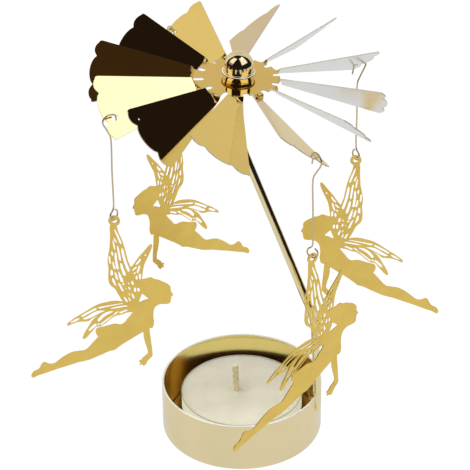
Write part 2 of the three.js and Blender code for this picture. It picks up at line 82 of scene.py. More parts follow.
RINGS = [(-36.8, -19.31, 87.74, -6.0), (-19.92, 36.06, 88.97, 214.3),
         (35.68, 19.64, 84.75, 182.7), (20.44, -35.09, 84.14, 33.0)]
LOOP_TURN = (58, 58, -58, -58)
CHARM_T = 0.35
RING_R, RING_HOLE = 1.75, 0.8


# ------------------------------------------------------------------- materials
def nodes_of(name):
    m = bpy.data.materials.new(name)
    m.use_nodes = True
    nt = m.node_tree
    bsdf = next(n for n in nt.nodes if n.type == "BSDF_PRINCIPLED")
    return m, nt, bsdf


def coords(nt, scale=(1, 1, 1)):
    tc = nt.nodes.new("ShaderNodeTexCoord")
    mp = nt.nodes.new("ShaderNodeMapping")
    mp.inputs["Scale"].default_value = scale
    nt.links.new(tc.outputs["Object"], mp.inputs["Vector"])
    return mp.outputs["Vector"]


def noise(nt, vec, scale, detail=3.0, rough=0.5):
    n = nt.nodes.new("ShaderNodeTexNoise")
    n.inputs["Scale"].default_value = scale
    n.inputs["Detail"].default_value = detail
    n.inputs["Roughness"].default_value = rough
    nt.links.new(vec, n.inputs["Vector"])
    return n.outputs["Fac"]


def spread(nt, fac, lo, hi, a=0.3, b=0.7):
    m = nt.nodes.new("ShaderNodeMapRange")
    m.inputs["From Min"].default_value = a
    m.inputs["From Max"].default_value = b
    m.inputs["To Min"].default_value = lo
    m.inputs["To Max"].default_value = hi
    nt.links.new(fac, m.inputs["Value"])
    return m.outputs["Result"]


def two_tone(nt, fac, c1, c2, a=0.35, b=0.65):
    r = nt.nodes.new("ShaderNodeValToRGB")
    r.color_ramp.elements[0].position = a
    r.color_ramp.elements[1].position = b
    r.color_ramp.elements[0].color = (*c1, 1)
    r.color_ramp.elements[1].color = (*c2, 1)
    nt.links.new(fac, r.inputs["Fac"])
    return r.outputs["Color"]


def bump(nt, bsdf, height, strength, distance):
    b = nt.nodes.new("ShaderNodeBump")
    b.inputs["Strength"].default_value = strength
    b.inputs["Distance"].default_value = distance
    nt.links.new(height, b.inputs["Height"])
    nt.links.new(b.outputs["Normal"], bsdf.inputs["Normal"])


def metal(name, c, rough, vary=0.04, tone=0.03, grain=900.0, bump_strength=0.0, bump_distance=1e-5, stretch=(1, 1, 1), patch=60.0, metallic=1.0):
    """plated or polished metal: slow change of tone and fine change of gloss"""
    m, nt, bsdf = nodes_of(name)
    bsdf.inputs["Metallic"].default_value = metallic
    v = coords(nt, stretch)
    slow = noise(nt, v, patch, 2.0)
    fine = noise(nt, v, grain, 4.0, 0.6)
    lo = tuple(max(x * (1 - tone), 0) for x in c)
    hi = tuple(min(x * (1 + tone), 1) for x in c)
    nt.links.new(two_tone(nt, slow, lo, hi), bsdf.inputs["Base Color"])
    nt.links.new(spread(nt, fine, max(rough - vary, 0.004), rough + vary), bsdf.inputs["Roughness"])
    if bump_strength:
        bump(nt, bsdf, fine, bump_strength, bump_distance)
    return m


M = {
    "rotor_top": metal("rotor_gold", (0.95, 0.685, 0.20), 0.045, 0.02, 0.02),
    "rotor_under": metal("rotor_bare_side", (0.93, 0.93, 0.92), 0.17, 0.03, 0.02),
    # painted shade: a darker gold for the folds, with a rougher finish
    "rotor_fold": metal("rotor_gold_fold_painted_shade", (0.74, 0.52, 0.165), 0.11, 0.03, 0.04, grain=1500.0),
    "rotor_edge": metal("rotor_cut_edge", (0.78, 0.70, 0.56), 0.50, 0.06, 0.06, grain=2500.0, metallic=0.55),
    "hub": metal("hub_gold", (0.95, 0.80, 0.45), 0.07, 0.015, 0.02),
    "hub_wall": metal("hub_wall_gold", (0.93, 0.80, 0.46), 0.10, 0.02, 0.02),
    # painted shade: dark brown for the band under the bead ring's rolled edge
    "hub_under_shade": metal("hub_ring_underside_painted_shade", (0.40, 0.25, 0.08), 0.22, 0.04, 0.03),
    "hub_edge": metal("hub_ring_rolled_edge", (0.98, 0.92, 0.84), 0.30, 0.05, 0.03, metallic=0.5),
    # painted highlight: the rim band is paler and only part metal, so it shows a bright line
    "cup_rim_painted_highlight": metal("cup_rim_painted_highlight", (1.0, 0.97, 0.86), 0.30, 0.04, 0.02, metallic=0.25),
    "cup_out": metal("cup_outside", (0.95, 0.81, 0.49), 0.12, 0.02, 0.03, patch=45.0),
    "cup_in": metal("cup_inside", (0.95, 0.80, 0.36), 0.15, 0.02, 0.03, patch=45.0),
    # painted shade: the inside floor is dark brown, standing in for the shade in the gap around the tealight
    "cup_floor": metal("cup_inside_floor_painted_shade", (0.42, 0.235, 0.05), 0.34, 0.06, 0.06, patch=70.0),
    "stem": metal("stem_gold", (0.95, 0.85, 0.53), 0.07, 0.02, 0.03),
    "charm": metal("charm_satin_gold", (0.985, 0.70, 0.175), 0.36, 0.05, 0.035, grain=1400.0, bump_strength=0.12, bump_distance=2e-5, patch=160.0),
    "wire": metal("hook_wire", (0.70, 0.60, 0.38), 0.22, 0.05, 0.06),
    "needle": metal("needle_steel", (0.62, 0.62, 0.63), 0.18, 0.05, 0.04, stretch=(1, 1, 0.1)),
    "socket": metal("socket_steel", (0.60, 0.60, 0.60), 0.25, 0.05, 0.04, stretch=(0.1, 0.1, 3)),
    "foil": metal("tealight_foil", (0.88, 0.85, 0.76), 0.45, 0.06, 0.03, grain=500.0, bump_strength=0.2, bump_distance=3e-5, stretch=(1, 1, 0.25)),
    # painted shade: the foot below the step is near black, standing in for the shade deep in the gap
    "foot_painted_shade": metal("tealight_foot_painted_shade", (0.12, 0.055, 0.006), 0.42, 0.06, 0.03, grain=500.0),
    "tab": metal("wick_tab_steel", (0.6, 0.6, 0.6), 0.3, 0.05, 0.04),
}


def wax_material():
    m, nt, bsdf = nodes_of("ivory_wax")
    v = coords(nt)
    slow = noise(nt, v, 110.0, 3.0, 0.6)
    fine = noise(nt, v, 700.0, 4.0, 0.6)
    nt.links.new(two_tone(nt, slow, (0.75, 0.71, 0.555), (0.815, 0.78, 0.64)), bsdf.inputs["Base Color"])
    nt.links.new(spread(nt, fine, 0.38, 0.55), bsdf.inputs["Roughness"])
    bsdf.inputs["Subsurface Weight"].default_value = 0.35
    bsdf.inputs["Subsurface Radius"].default_value = (1.0, 0.7, 0.45)
    bsdf.inputs["Subsurface Scale"].default_value = 0.003
    bsdf.inputs["Specular IOR Level"].default_value = 0.35
    bump(nt, bsdf, slow, 0.25, 4e-5)
    return m


def wick_material():
    m, nt, bsdf = nodes_of("waxed_cotton_wick")
    v = coords(nt, (1, 1, 0.6))
    w = nt.nodes.new("ShaderNodeTexWave")
    w.inputs["Scale"].default_value = 900.0
    w.inputs["Distortion"].default_value = 3.0
    w.bands_direction = "Z"
    nt.links.new(v, w.inputs["Vector"])
    nt.links.new(two_tone(nt, w.outputs["Fac"], (0.80, 0.71, 0.43), (0.92, 0.84, 0.56), 0.1, 0.9), bsdf.inputs["Base Color"])
    nt.links.new(spread(nt, noise(nt, v, 2500.0), 0.6, 0.85), bsdf.inputs["Roughness"])
    bsdf.inputs["Subsurface Weight"].default_value = 0.15
    bsdf.inputs["Subsurface Radius"].default_value = (1.0, 0.8, 0.5)
    bsdf.inputs["Subsurface Scale"].default_value = 0.001
    bump(nt, bsdf, w.outputs["Fac"], 0.3, 3e-5)
    return m


M["wax"] = wax_material()
M["wick"] = wick_material()


def painted_glow_collar_material():
    m, nt, bsdf = nodes_of("tealight_collar_painted_glow")
    v = coords(nt)
    nt.links.new(two_tone(nt, noise(nt, v, 90.0, 2.0), (0.50, 0.48, 0.34), (0.56, 0.54, 0.40)), bsdf.inputs["Base Color"])
    nt.links.new(spread(nt, noise(nt, v, 800.0, 3.0), 0.35, 0.5), bsdf.inputs["Roughness"])
    bsdf.inputs["Specular IOR Level"].default_value = 0.5
    # painted light: the collar band glows with its own emission, standing in for a brightly lit side
    bsdf.inputs["Emission Color"].default_value = (1.0, 1.0, 0.78, 1)
    bsdf.inputs["Emission Strength"].default_value = 0.52
    return m


M["collar"] = painted_glow_collar_material()

# a small record of which finish each carried-over CAD node would wear
for node, key in {"cup": "cup_out", "tealight_cup": "foil", "wick_tab": "tab", "wax": "wax", "wick": "wick", "stem": "stem",
                  "rim_clip": "stem", "pivot_needle": "needle", "rotor": "rotor_top", "hub_ring": "hub", "hub_cap": "hub",
                  "bearing_socket": "socket", **{f"fairy_{i}": "charm" for i in range(1, 5)},
                  **{f"hook_{i}": "wire" for i in range(1, 5)}}.items():
    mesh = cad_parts[node].data
    mesh.materials.clear()
    mesh.materials.append(M[key])


# --------------------------------------------------------------------- meshes
def piece(name, verts, faces, mats, body, replaces=(), index=None, angle=35.0):
    me = bpy.data.meshes.new(name)
    me.from_pydata([tuple(float(c) * 0.001 for c in v) for v in verts], [], [tuple(int(i) for i in f) for f in faces])
    for m in mats:
        me.materials.append(m)
    if index is not None:
        me.polygons.foreach_set("material_index", np.asarray(index, np.int32))
    me.polygons.foreach_set("use_smooth", np.ones(len(me.polygons), bool))
    me.set_sharp_from_angle(angle=rad(angle))
    me.validate()
    me.update()
    o = bpy.data.objects.new(name, me)
    scene.collection.objects.link(o)
    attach(o, body)
    if replaces:
        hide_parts(*replaces)
    return o


def lathe(profile, seg, wobble=None):
    """closed body turned about Z from [radius, height] points; radius 0 is a pole"""
    verts, faces, rows = [], [], []
    for r, z in profile:
        if r < 1e-9:
            rows.append([len(verts)])
            verts.append((0, 0, z))
        else:
            row = []
            for i in range(seg):
                a = 2 * math.pi * i / seg
                rr = r if wobble is None else wobble(r, a, z)
                row.append(len(verts))
                verts.append((rr * math.cos(a), rr * math.sin(a), z))
            rows.append(row)
    closed = profile[0][0] > 1e-9
    pairs = list(zip(rows, rows[1:] + ([rows[0]] if closed else [])))
    if not closed:
        pairs = list(zip(rows[:-1], rows[1:]))
    for a, b in pairs:
        for i in range(seg):
            j = (i + 1) % seg
            if len(a) == 1:
                faces.append((a[0], b[j], b[i]))
            elif len(b) == 1:
                faces.append((a[i], a[j], b[0]))
            else:
                faces.append((a[i], a[j], b[j], b[i]))
    return verts, faces


def arc(cr, cz, rho, a0, a1, n):
    return [(cr + rho * math.cos(rad(a0 + (a1 - a0) * i / n)), cz + rho * math.sin(rad(a0 + (a1 - a0) * i / n))) for i in range(n + 1)]


def smooth_path(points, step, closed=False):
    """Catmull-Rom through the points, resampled about every step"""
    P = np.asarray(points, float)
    n = len(P)
    out = []
    for i in range(n if closed else n - 1):
        p1, p2 = P[i], P[(i + 1) % n]
        p0 = P[(i - 1) % n] if closed or i > 0 else 2 * p1 - p2
        p3 = P[(i + 2) % n] if closed or i + 2 < n else 2 * p2 - p1
        m = max(2, int(math.ceil(np.linalg.norm(p2 - p1) / step)))
        # centripetal spacing keeps tight corners from looping
        d01, d12, d23 = (max(np.linalg.norm(b - a), 1e-6) ** 0.5 for a, b in ((p0, p1), (p1, p2), (p2, p3)))
        t1 = (p1 - p0) / d01 - (p2 - p0) / (d01 + d12) + (p2 - p1) / d12
        t2 = (p2 - p1) / d12 - (p3 - p1) / (d12 + d23) + (p3 - p2) / d23
        t1, t2 = t1 * d12, t2 * d12
        for j in range(m):
            t = j / m
            out.append((2 * t**3 - 3 * t**2 + 1) * p1 + (t**3 - 2 * t**2 + t) * t1 + (-2 * t**3 + 3 * t**2) * p2 + (t**3 - t**2) * t2)
    if not closed:
        out.append(P[-1])
    return np.array(out)


def tube(points, radius, sides, round_ends=True, squash=None):
    """round wire along points, frames carried along without twist"""
    P = np.asarray(points, float)
    n = len(P)
    R = np.full(n, float(radius)) if np.isscalar(radius) else np.asarray(radius, float)
    T = np.gradient(P, axis=0)
    T /= np.linalg.norm(T, axis=1)[:, None]
    u = np.cross(T[0], [0.13, 0.9, 0.41])
    u /= np.linalg.norm(u)
    rows, verts, faces = [], [], []

    def ring(c, u, v, r):
        row = []
        for i in range(sides):
            a = 2 * math.pi * i / sides
            row.append(len(verts))
            verts.append(c + r * (math.cos(a) * u + math.sin(a) * v))
        rows.append(row)

    for i in range(n):
        u = u - T[i] * (u @ T[i])
        u /= np.linalg.norm(u)
        v = np.cross(T[i], u)
        if i == 0 and round_ends:
            for a in (80, 60, 38, 18):
                ring(P[0] - T[0] * R[0] * math.sin(rad(a)), u, v, R[0] * math.cos(rad(a)))
        ring(P[i], u, v, R[i])
        if i == n - 1 and round_ends:
            for a in (18, 38, 60, 80):
                ring(P[-1] + T[-1] * R[-1] * math.sin(rad(a)), u, v, R[-1] * math.cos(rad(a)))
    for a, b in zip(rows, rows[1:]):
        for i in range(sides):
            j = (i + 1) % sides
            faces.append((a[i], a[j], b[j], b[i]))
    faces.append(tuple(reversed(rows[0])))
    faces.append(tuple(rows[-1]))
    return verts, faces


# ------------------------------------------------------------------------ cup
e, co, wi = 1.1, CUP_R + 0.18, CUP_R + 0.05 - CUP_WALL     # the wall is rolled a touch fuller than its nominal radius
outer = [(0, 0), (12, 0), (20, 0)] + arc(co - e, e, e, -90, 0, 10) + [(co, z) for z in (3, 6, 9, 12, 15)] \
    + [(co, CUP_H - 0.3)] + arc(co - 0.3, CUP_H - 0.3, 0.3, 0, 90, 6)
inner = arc(wi + 0.3, CUP_H - 0.3, 0.3, 90, 180, 6) + [(wi, z) for z in (15, 12, 9, 6, 3)] \
    + arc(wi - 0.7, CUP_WALL + 0.7, 0.7, 0, -90, 6) + [(20, CUP_WALL), (12, CUP_WALL), (0, CUP_WALL)]
prof = outer + inner[1:]
v, f = lathe(prof, 256)
n_out = len(outer) - 1
index = []
for row in range(len(prof) - 1):
    # rows: outside, the rim band (painted highlight), the inside wall, and the inside floor with its lower fillet
    # (painted shade)
    index += [0 if row < n_out - 5 else 3 if row < n_out + 5 else 1 if row < len(prof) - 9 else 2] * 256
piece("cup_shell", v, f, [M["cup_out"], M["cup_in"], M["cup_floor"], M["cup_rim_painted_highlight"]], "base", ["cup"], index)

# ------------------------------------------------------------------- tealight
t = 0.16


def crimp(r, a, z):
    k = min(max((6.3 - z) / 1.5, 0), 1) * min(max((z - FOIL_Z0 - 0.5) / 1.5, 0), 1)
    return r + 0.035 * k * math.cos(64 * a) - 0.03 * k


STEP = 1.35                                # the cup's collar stands this much proud of its foot
fo = [(0, FOIL_Z0), (8, FOIL_Z0 + 0.05), (FOIL_R - STEP - 1.2, FOIL_Z0)] + arc(FOIL_R - STEP - 0.95, FOIL_Z0 + 0.75, 0.75, -80, -5, 6) \
    + [(FOIL_R - STEP - 0.16, z) for z in (3, 5, 6.0)] + [(FOIL_R - STEP + 0.1, 6.55), (FOIL_R - 0.55, 6.8), (FOIL_R - 0.22, 7.1), (FOIL_R - 0.12, 7.5), (FOIL_R - 0.12, 9), (FOIL_R - 0.12, 11)] \
    + [(FOIL_R - 0.12, 12.0)] + arc(FOIL_R - 0.14, FOIL_Z1 - 0.14, 0.14, -60, 180, 10) \
    + [(FOIL_R - 0.12 - t, 12.0), (FOIL_R - 0.12 - t, 11), (FOIL_R - 0.12 - t, 9), (FOIL_R - 0.12 - t, 7.5), (FOIL_R - 0.3 - t, 7.1), (FOIL_R - 0.55 - t, 6.95), (FOIL_R - STEP + 0.1 - t, 6.7)] \
    + [(FOIL_R - STEP - 0.16 - t, z) for z in (6.0, 5, 3)] \
    + arc(FOIL_R - STEP - 0.95, FOIL_Z0 + 0.78, 0.6, -5, -80, 6) + [(8, FOIL_Z0 + 0.05 + t), (0, FOIL_Z0 + t)]
v, f = lathe(fo, 256, crimp)
zc = [sum(v[q][2] for q in face) / len(face) for face in f]
rc = [sum(math.hypot(*v[q][:2]) for q in face) / len(face) for face in f]
# the band from 7 to 12.3 mm wears the glowing collar finish (painted light), and the foot below it wears the near-black
# finish (painted shade)
piece("foil_cup", v, f, [M["foil"], M["collar"], M["foot_painted_shade"]], "tealight", ["tealight_cup"],
      [1 if 7.0 < z < 12.3 and r > FOIL_R - 0.2 else 2 if z < 7.0 and r > 12 else 0 for z, r in zip(zc, rc)])

rng = np.random.default_rng(11)
ph = rng.uniform(0, 6.28, 12)
amp = rng.uniform(0.4, 1.0, 12)


def wax_top(x, y):
    r = math.hypot(x, y)
    z = WAX_Z1 + 0.34 * math.exp(-((18.86 - r) / 0.8) ** 2) - 0.06           # clings to the foil
    rw = math.hypot(x - WICK_X, y)
    z += 0.55 * math.exp(-((rw - 1.0) / 0.8) ** 2) - 0.32 * math.exp(-((rw - 3.6) / 2.6) ** 2)
    a = math.atan2(y, x)
    z += 0.03 * math.sin(0.5 * x + ph[0]) * math.sin(0.42 * y + ph[1]) + 0.02 * math.sin(3 * a + ph[2]) * min(r / 8, 1)
    return z


seg, verts, faces, rows = 160, [], [], []
radii = [0.82, 0.95, 1.1, 1.35, 1.7, 2.2, 2.9, 3.8, 5, 6.5, 8.5, 10.5, 12.5, 14.5, 16, 17, 17.6, 18, 18.3, 18.55, 18.7, 18.8]
def wax_ring(r, z=None):
    """one ring of the wax; the rings near the middle are centred on the wick"""
    shift = WICK_X * (1 - min(max((r - 1.7) / 14.0, 0), 1))
    row = []
    for i in range(seg):
        a = 2 * math.pi * i / seg
        x, y = r * math.cos(a) + shift, r * math.sin(a)
        row.append(len(verts))
        verts.append((x, y, wax_top(x, y) if z is None else z))
    rows.append(row)


for r in radii:
    wax_ring(r)
for r, z in [(18.82, 11.6), (18.82, 7.6), (18.4, 7.15), (17.55, 6.7), (17.4, 6.0), (17.4, 4.0), (17.0, WAX_Z0 + 0.2), (16.4, WAX_Z0), (1.3, WAX_Z0), (0.82, WAX_Z0)]:
    wax_ring(r, z)
for a, b in zip(rows, rows[1:] + [rows[0]]):
    for i in range(seg):
        j = (i + 1) % seg
        faces.append((a[i], b[i], b[j], a[j]))
piece("wax_body", verts, faces, [M["wax"]], "tealight", ["wax"], angle=60)

# wick: a braided cord, standing slightly off upright
line = smooth_path([(WICK_X, 0, 2.3), (WICK_X, 0, 8), (WICK_X, 0, WAX_Z1 + 1.2), (WICK_X - 0.05, 0, WAX_Z1 + 3.2), (WICK_X - 0.15, -0.05, WAX_Z1 + 6.2), (WICK_X - 0.3, -0.1, WICK_Z1 - 0.25)], 0.11)
sides = 42
P = line
T = np.gradient(P, axis=0)
T /= np.linalg.norm(T, axis=1)[:, None]
verts, faces, rows = [], [], []
u = np.array([1.0, 0, 0])
s_len = 0.0
for i in range(len(P)):
    if i:
        s_len += np.linalg.norm(P[i] - P[i - 1])
    u = u - T[i] * (u @ T[i])
    u /= np.linalg.norm(u)
    w = np.cross(T[i], u)
    end = min(1.0, (len(P) - 1 - i) / 3.0 + 0.55)
    base = 0.72 if P[i][2] < WAX_Z1 - 0.4 else min(0.92, 0.72 + 0.25 * (P[i][2] - WAX_Z1 + 0.4))
    row = []
    for k in range(sides):
        a = 2 * math.pi * k / sides
        rr = base * end * (1 + 0.055 * math.cos(3 * a + 2.6 * s_len) + 0.055 * math.cos(3 * a - 2.6 * s_len))
        row.append(len(verts))
        verts.append(P[i] + rr * (math.cos(a) * u + math.sin(a) * w))
    rows.append(row)
for a, b in zip(rows, rows[1:]):
    for i in range(sides):
        j = (i + 1) % sides
        faces.append((a[i], a[j], b[j], b[i]))
faces.append(tuple(reversed(rows[0])))
faces.append(tuple(rows[-1]))
piece("wick_cord", verts, faces, [M["wick"]], "tealight", ["wick"], angle=70)

v, f = lathe([(0, 1.52), (5.9, 1.52), (6.3, 1.62), (6.4, 1.76), (6.3, 1.9), (5.9, 1.96), (2.2, 1.98), (0, 1.98)], 64)
piece("tab_disc", v, f, [M["tab"]], "tealight", ["wick_tab"])

# ----------------------------------------------------------------------- stem
la = rad(LEG_AZ)
radial = np.array([math.cos(la), math.sin(la), 0.0])
across = np.array([-math.sin(la), math.cos(la), 0.0])


def at(r, z):
    return radial * r + np.array([0, 0, z])


def rounded(a, b, c, size, n):
    p = b + (a - b) / np.linalg.norm(a - b) * size
    q = b + (c - b) / np.linalg.norm(c - b) * size
    return [(1 - s) ** 2 * p + 2 * s * (1 - s) * b + s * s * q for s in np.linspace(0, 1, n + 1)]


def spaced(a, b, n):
    return [a + (b - a) * s for s in np.linspace(0, 1, n + 1)]


foot, knee, top, end_pt = at(LEG_R, FOOT_Z), at(*LEG_BEND), np.array([0, 0, TOP_BEND_Z]), np.array([0, 0, ROD_TOP_Z])
bend1, bend2 = rounded(foot, knee, top, 4.5, 14), rounded(knee, top, end_pt, 5.0, 14)
path = spaced(foot, bend1[0], 60)[:-1] + bend1 + spaced(bend1[-1], bend2[0], 24)[1:-1] + bend2 + spaced(bend2[-1], end_pt, 8)[1:]
path = np.array(path)
sides = 48
T = np.gradient(path, axis=0)
T /= np.linalg.norm(T, axis=1)[:, None]
verts, faces, rows = [], [], []
cut = CUP_R + 0.3 - LEG_R                 # the slot's outer side, measured from the rod's axis
for i, p in enumerate(path):
    w = across
    u = np.cross(w, T[i])                 # points away from the cup's axis
    u /= np.linalg.norm(u)
    z = p[2]
    k = min(max((CROTCH_Z + 0.5 - z) / 0.5, 0), 1)          # how far the slot is cut in
    k = k * k * (3 - 2 * k)
    g = min(max((16.2 - z) / (16.2 - FOOT_Z), 0), 1)         # the prong tapers to its foot
    row = []
    for s in range(sides):
        a = 2 * math.pi * s / sides
        du, dw = ROD_R * math.cos(a), ROD_R * math.sin(a)
        if k > 0:
            du = max(du, (1 - k) * (-ROD_R) + k * cut)
            dw *= 1 - 0.62 * g ** 1.3
            du = cut + (du - cut) * (1 - 0.55 * g ** 1.5) if k >= 1 else du
        if i >= len(path) - 3:
            sc = (1.0, 0.93, 0.72)[i - (len(path) - 3)]
            du, dw = du * sc, dw * sc
        row.append(len(verts))
        verts.append(p + u * du + w * dw)
    rows.append(row)
for a, b in zip(rows, rows[1:]):
    for i in range(sides):
        j = (i + 1) % sides
        faces.append((a[i], b[i], b[j], a[j]))
# rounded tip of the prong
c0 = np.mean([verts[i] for i in rows[0]], axis=0)
r1 = []
for i in rows[0]:
    r1.append(len(verts))
    verts.append(c0 + (verts[i] - c0) * 0.7 + np.array([0, 0, -0.18]))
r2 = []
for i in rows[0]:
    r2.append(len(verts))
    verts.append(c0 + (verts[i] - c0) * 0.3 + np.array([0, 0, -0.27]))
for a, b in ((rows[0], r1), (r1, r2)):
    for i in range(sides):
        j = (i + 1) % sides
        faces.append((b[i], a[i], a[j], b[j]))
faces.append(tuple(r2))
faces.append(tuple(reversed(rows[-1])))
piece("bent_rod", verts, faces, [M["stem"]], "stand", ["stem"], angle=40)

# spring tongue with a curled end, inside the rim
ln = smooth_path([(23.55, 25.3), (23.55, 22.4), (23.5, 20.4), (23.05, 18.9), (22.9, 17.2), (22.95, 15.9), (23.2, 15.0), (23.62, 14.62),
                  (23.9, 14.95), (23.82, 15.4)], 0.16)
th, wd = 0.42, 2.0
verts, faces, rows = [], [], []
TT = np.gradient(ln, axis=0)
TT /= np.linalg.norm(TT, axis=1)[:, None]
prof = [(-0.5, -0.5), (-0.43, -0.5), (0.43, -0.5), (0.5, -0.38), (0.5, 0.38), (0.43, 0.5), (-0.43, 0.5), (-0.5, 0.38)]
prof = [(-0.5, -0.36), (-0.46, -0.5), (0.46, -0.5), (0.5, -0.36), (0.5, 0.36), (0.46, 0.5), (-0.46, 0.5), (-0.5, 0.36)]
for i, (q, tt) in enumerate(zip(ln, TT)):
    nrm = np.array([-tt[1], tt[0]])
    taper = 1 - 0.45 * (i / (len(ln) - 1)) ** 1.5
    row = []
    for a, b in prof:
        r2d = q + nrm * (b * th)
        row.append(len(verts))
        verts.append(at(r2d[0], r2d[1]) + across * (a * wd * taper))
    rows.append(row)
for a, b in zip(rows, rows[1:]):
    for i in range(len(prof)):
        j = (i + 1) % len(prof)
        faces.append((a[i], a[j], b[j], b[i]))
faces.append(tuple(reversed(rows[0])))
faces.append(tuple(rows[-1]))
piece("spring_tongue", verts, faces, [M["stem"]], "stand", ["rim_clip"], angle=40)

zt = HUB_Z + TIP_DZ
v, f = lathe([(0, ROD_TOP_Z + 0.3), (NEEDLE_R - 0.08, ROD_TOP_Z + 0.3), (NEEDLE_R, ROD_TOP_Z + 0.4), (NEEDLE_R, ROD_TOP_Z + 3.0), (NEEDLE_R, zt - 3.3),
              (0.47, zt - 2.4), (0.33, zt - 1.5), (0.2, zt - 0.8), (0.1, zt - 0.42), (0.04, zt - 0.33), (0, zt - 0.32)], 40)
piece("needle_point", v, f, [M["needle"]], "stand", ["pivot_needle"])

# ---------------------------------------------------------------------- rotor
LEAN_M = np.array(Matrix.Rotation(rad(LEAN), 3, "Y"))


def lean(p):
    return LEAN_M @ (np.asarray(p, float) - np.array([0, 0, TIP_DZ])) + np.array([0, 0, HUB_Z + TIP_DZ])


def blade_point(k, r, h, off=0.0):
    """bent position of a point of the flat sheet, in the hub's own frame"""
    phi = rad(BLADE_AZ0 + 360 / BLADES * k)
    pitch, droop, side = (rad(x) for x in BLADE_SET[k][:3])
    r0 = BLADE_SET[k][3] - FOLD
    ur = np.array([math.cos(phi), math.sin(phi), 0])
    ut = np.array([-math.sin(phi), math.cos(phi), 0])
    s = min(max((r - r0) / (2 * FOLD), 0), 1)
    s = s * s * (3 - 2 * s)
    p, g = -pitch * s, max(r - r0, 0) / (CORNER_R - r0)
    zc, tc = -CORNER_R * math.sin(droop) * g, CORNER_R * math.sin(side) * g
    q = ur * r + ut * (tc + h * math.cos(p) - off * math.sin(p))
    q[2] = zc + h * math.sin(p) + off * math.cos(p)
    return q


def polar(k, r, h):
    phi = rad(BLADE_AZ0 + 30 * k)
    return (r * math.cos(phi) - h * math.sin(phi), r * math.sin(phi) + h * math.cos(phi))


def edge(r, side):
    """how far a blade's edge is from its middle line, on the side towards the next blade (+1) or the one before (-1)"""
    return r * math.tan(rad(15)) - (EDGE_P if side > 0 else EDGE_N) / math.cos(rad(15))


def inside(points, poly):
    """even-odd test of many points against one polygon"""
    P, Q = np.asarray(points, float), np.asarray(poly, float)
    x, y = P[:, 0], P[:, 1]
    res = np.zeros(len(P), bool)
    x0, y0 = Q[:, 0], Q[:, 1]
    x1, y1 = np.roll(x0, -1), np.roll(y0, -1)
    for a, b, c, d in zip(x0, y0, x1, y1):
        if b == d:
            continue
        hit = ((b > y) != (d > y)) & (x < (c - a) * (y - b) / (d - b) + a)
        res ^= hit
    return res


def triangulate(loops, extra, keep):
    """constrained triangulation of closed loops and loose points; keep(centroids) says which triangles stay"""
    pts, edges = [], []
    for lp in loops:
        base = len(pts)
        pts += [tuple(map(float, q)) for q in lp]
        edges += [(base + i, base + (i + 1) % len(lp)) for i in range(len(lp))]
    pts += [tuple(map(float, q)) for q in extra]
    V, _, F, _, _, _ = delaunay_2d_cdt([Vector(p) for p in pts], edges, [], 0, 1e-6)
    V = np.array([(p.x, p.y) for p in V])
    F = np.array([list(q) for q in F if len(q) == 3])
    A = V[F]
    area = (A[:, 1, 0] - A[:, 0, 0]) * (A[:, 2, 1] - A[:, 0, 1]) - (A[:, 1, 1] - A[:, 0, 1]) * (A[:, 2, 0] - A[:, 0, 0])
    F = np.where((area > 0)[:, None], F, F[:, ::-1])
    ok = (np.abs(area) > 1e-9) & keep(V[F].mean(axis=1))
    F = F[ok]
    used = np.unique(F)
    remap = -np.ones(len(V), int)
    remap[used] = np.arange(len(used))
    return V[used], remap[F]


def thicken(top, bottom, F):
    """two skins and the walls between them; returns verts, faces and which skin each face is on"""
    n = len(top)
    faces = [tuple(q) for q in F] + [tuple(q[::-1] + n) for q in F]
    kind = [0] * len(F) + [1] * len(F)
    seen = {}
    for q in F:
        for a, b in ((q[0], q[1]), (q[1], q[2]), (q[2], q[0])):
            seen[(a, b)] = seen.get((a, b), 0) + 1
    for a, b in seen:
        if (b, a) not in seen:
            faces.append((a, a + n, b + n, b))
            kind.append(2)
    return list(top) + list(bottom), faces, kind


outline, extra = [], []


def rows_of(k):
    """stations along a blade's root: the slit's end, the fold in small steps, and the flat after it"""
    f = BLADE_SET[k][3]
    return [SLIT_R, f - FOLD - 0.15] + [f + FOLD * q for q in (-1, -0.8, -0.6, -0.4, -0.2, 0, 0.2, 0.4, 0.6, 0.8, 1)] + [f + FOLD + 0.15, 16.0]



def tip_side(side):
    """scalloped tip from one sharp corner to the middle, [along, across]"""
    c = (TIP_R, edge(TIP_R, side))
    full = math.degrees(math.atan2(c[1], c[0]))
    flat = [c, (TIP_R + 0.75, c[1] - 0.06)] + [(R * math.cos(rad(q * full)), R * math.sin(rad(q * full))) for R, q in SIDE_LOBE]
    notch = SIDE_LOBE[-1][1] * full
    mid = [(R * math.cos(rad(q * notch / 6.6)), R * math.sin(rad(q * notch / 6.6))) for R, q in MID_LOBE]
    return [tuple(q) for q in smooth_path(flat, 0.28)] + [tuple(q) for q in smooth_path(mid, 0.28)][1:]


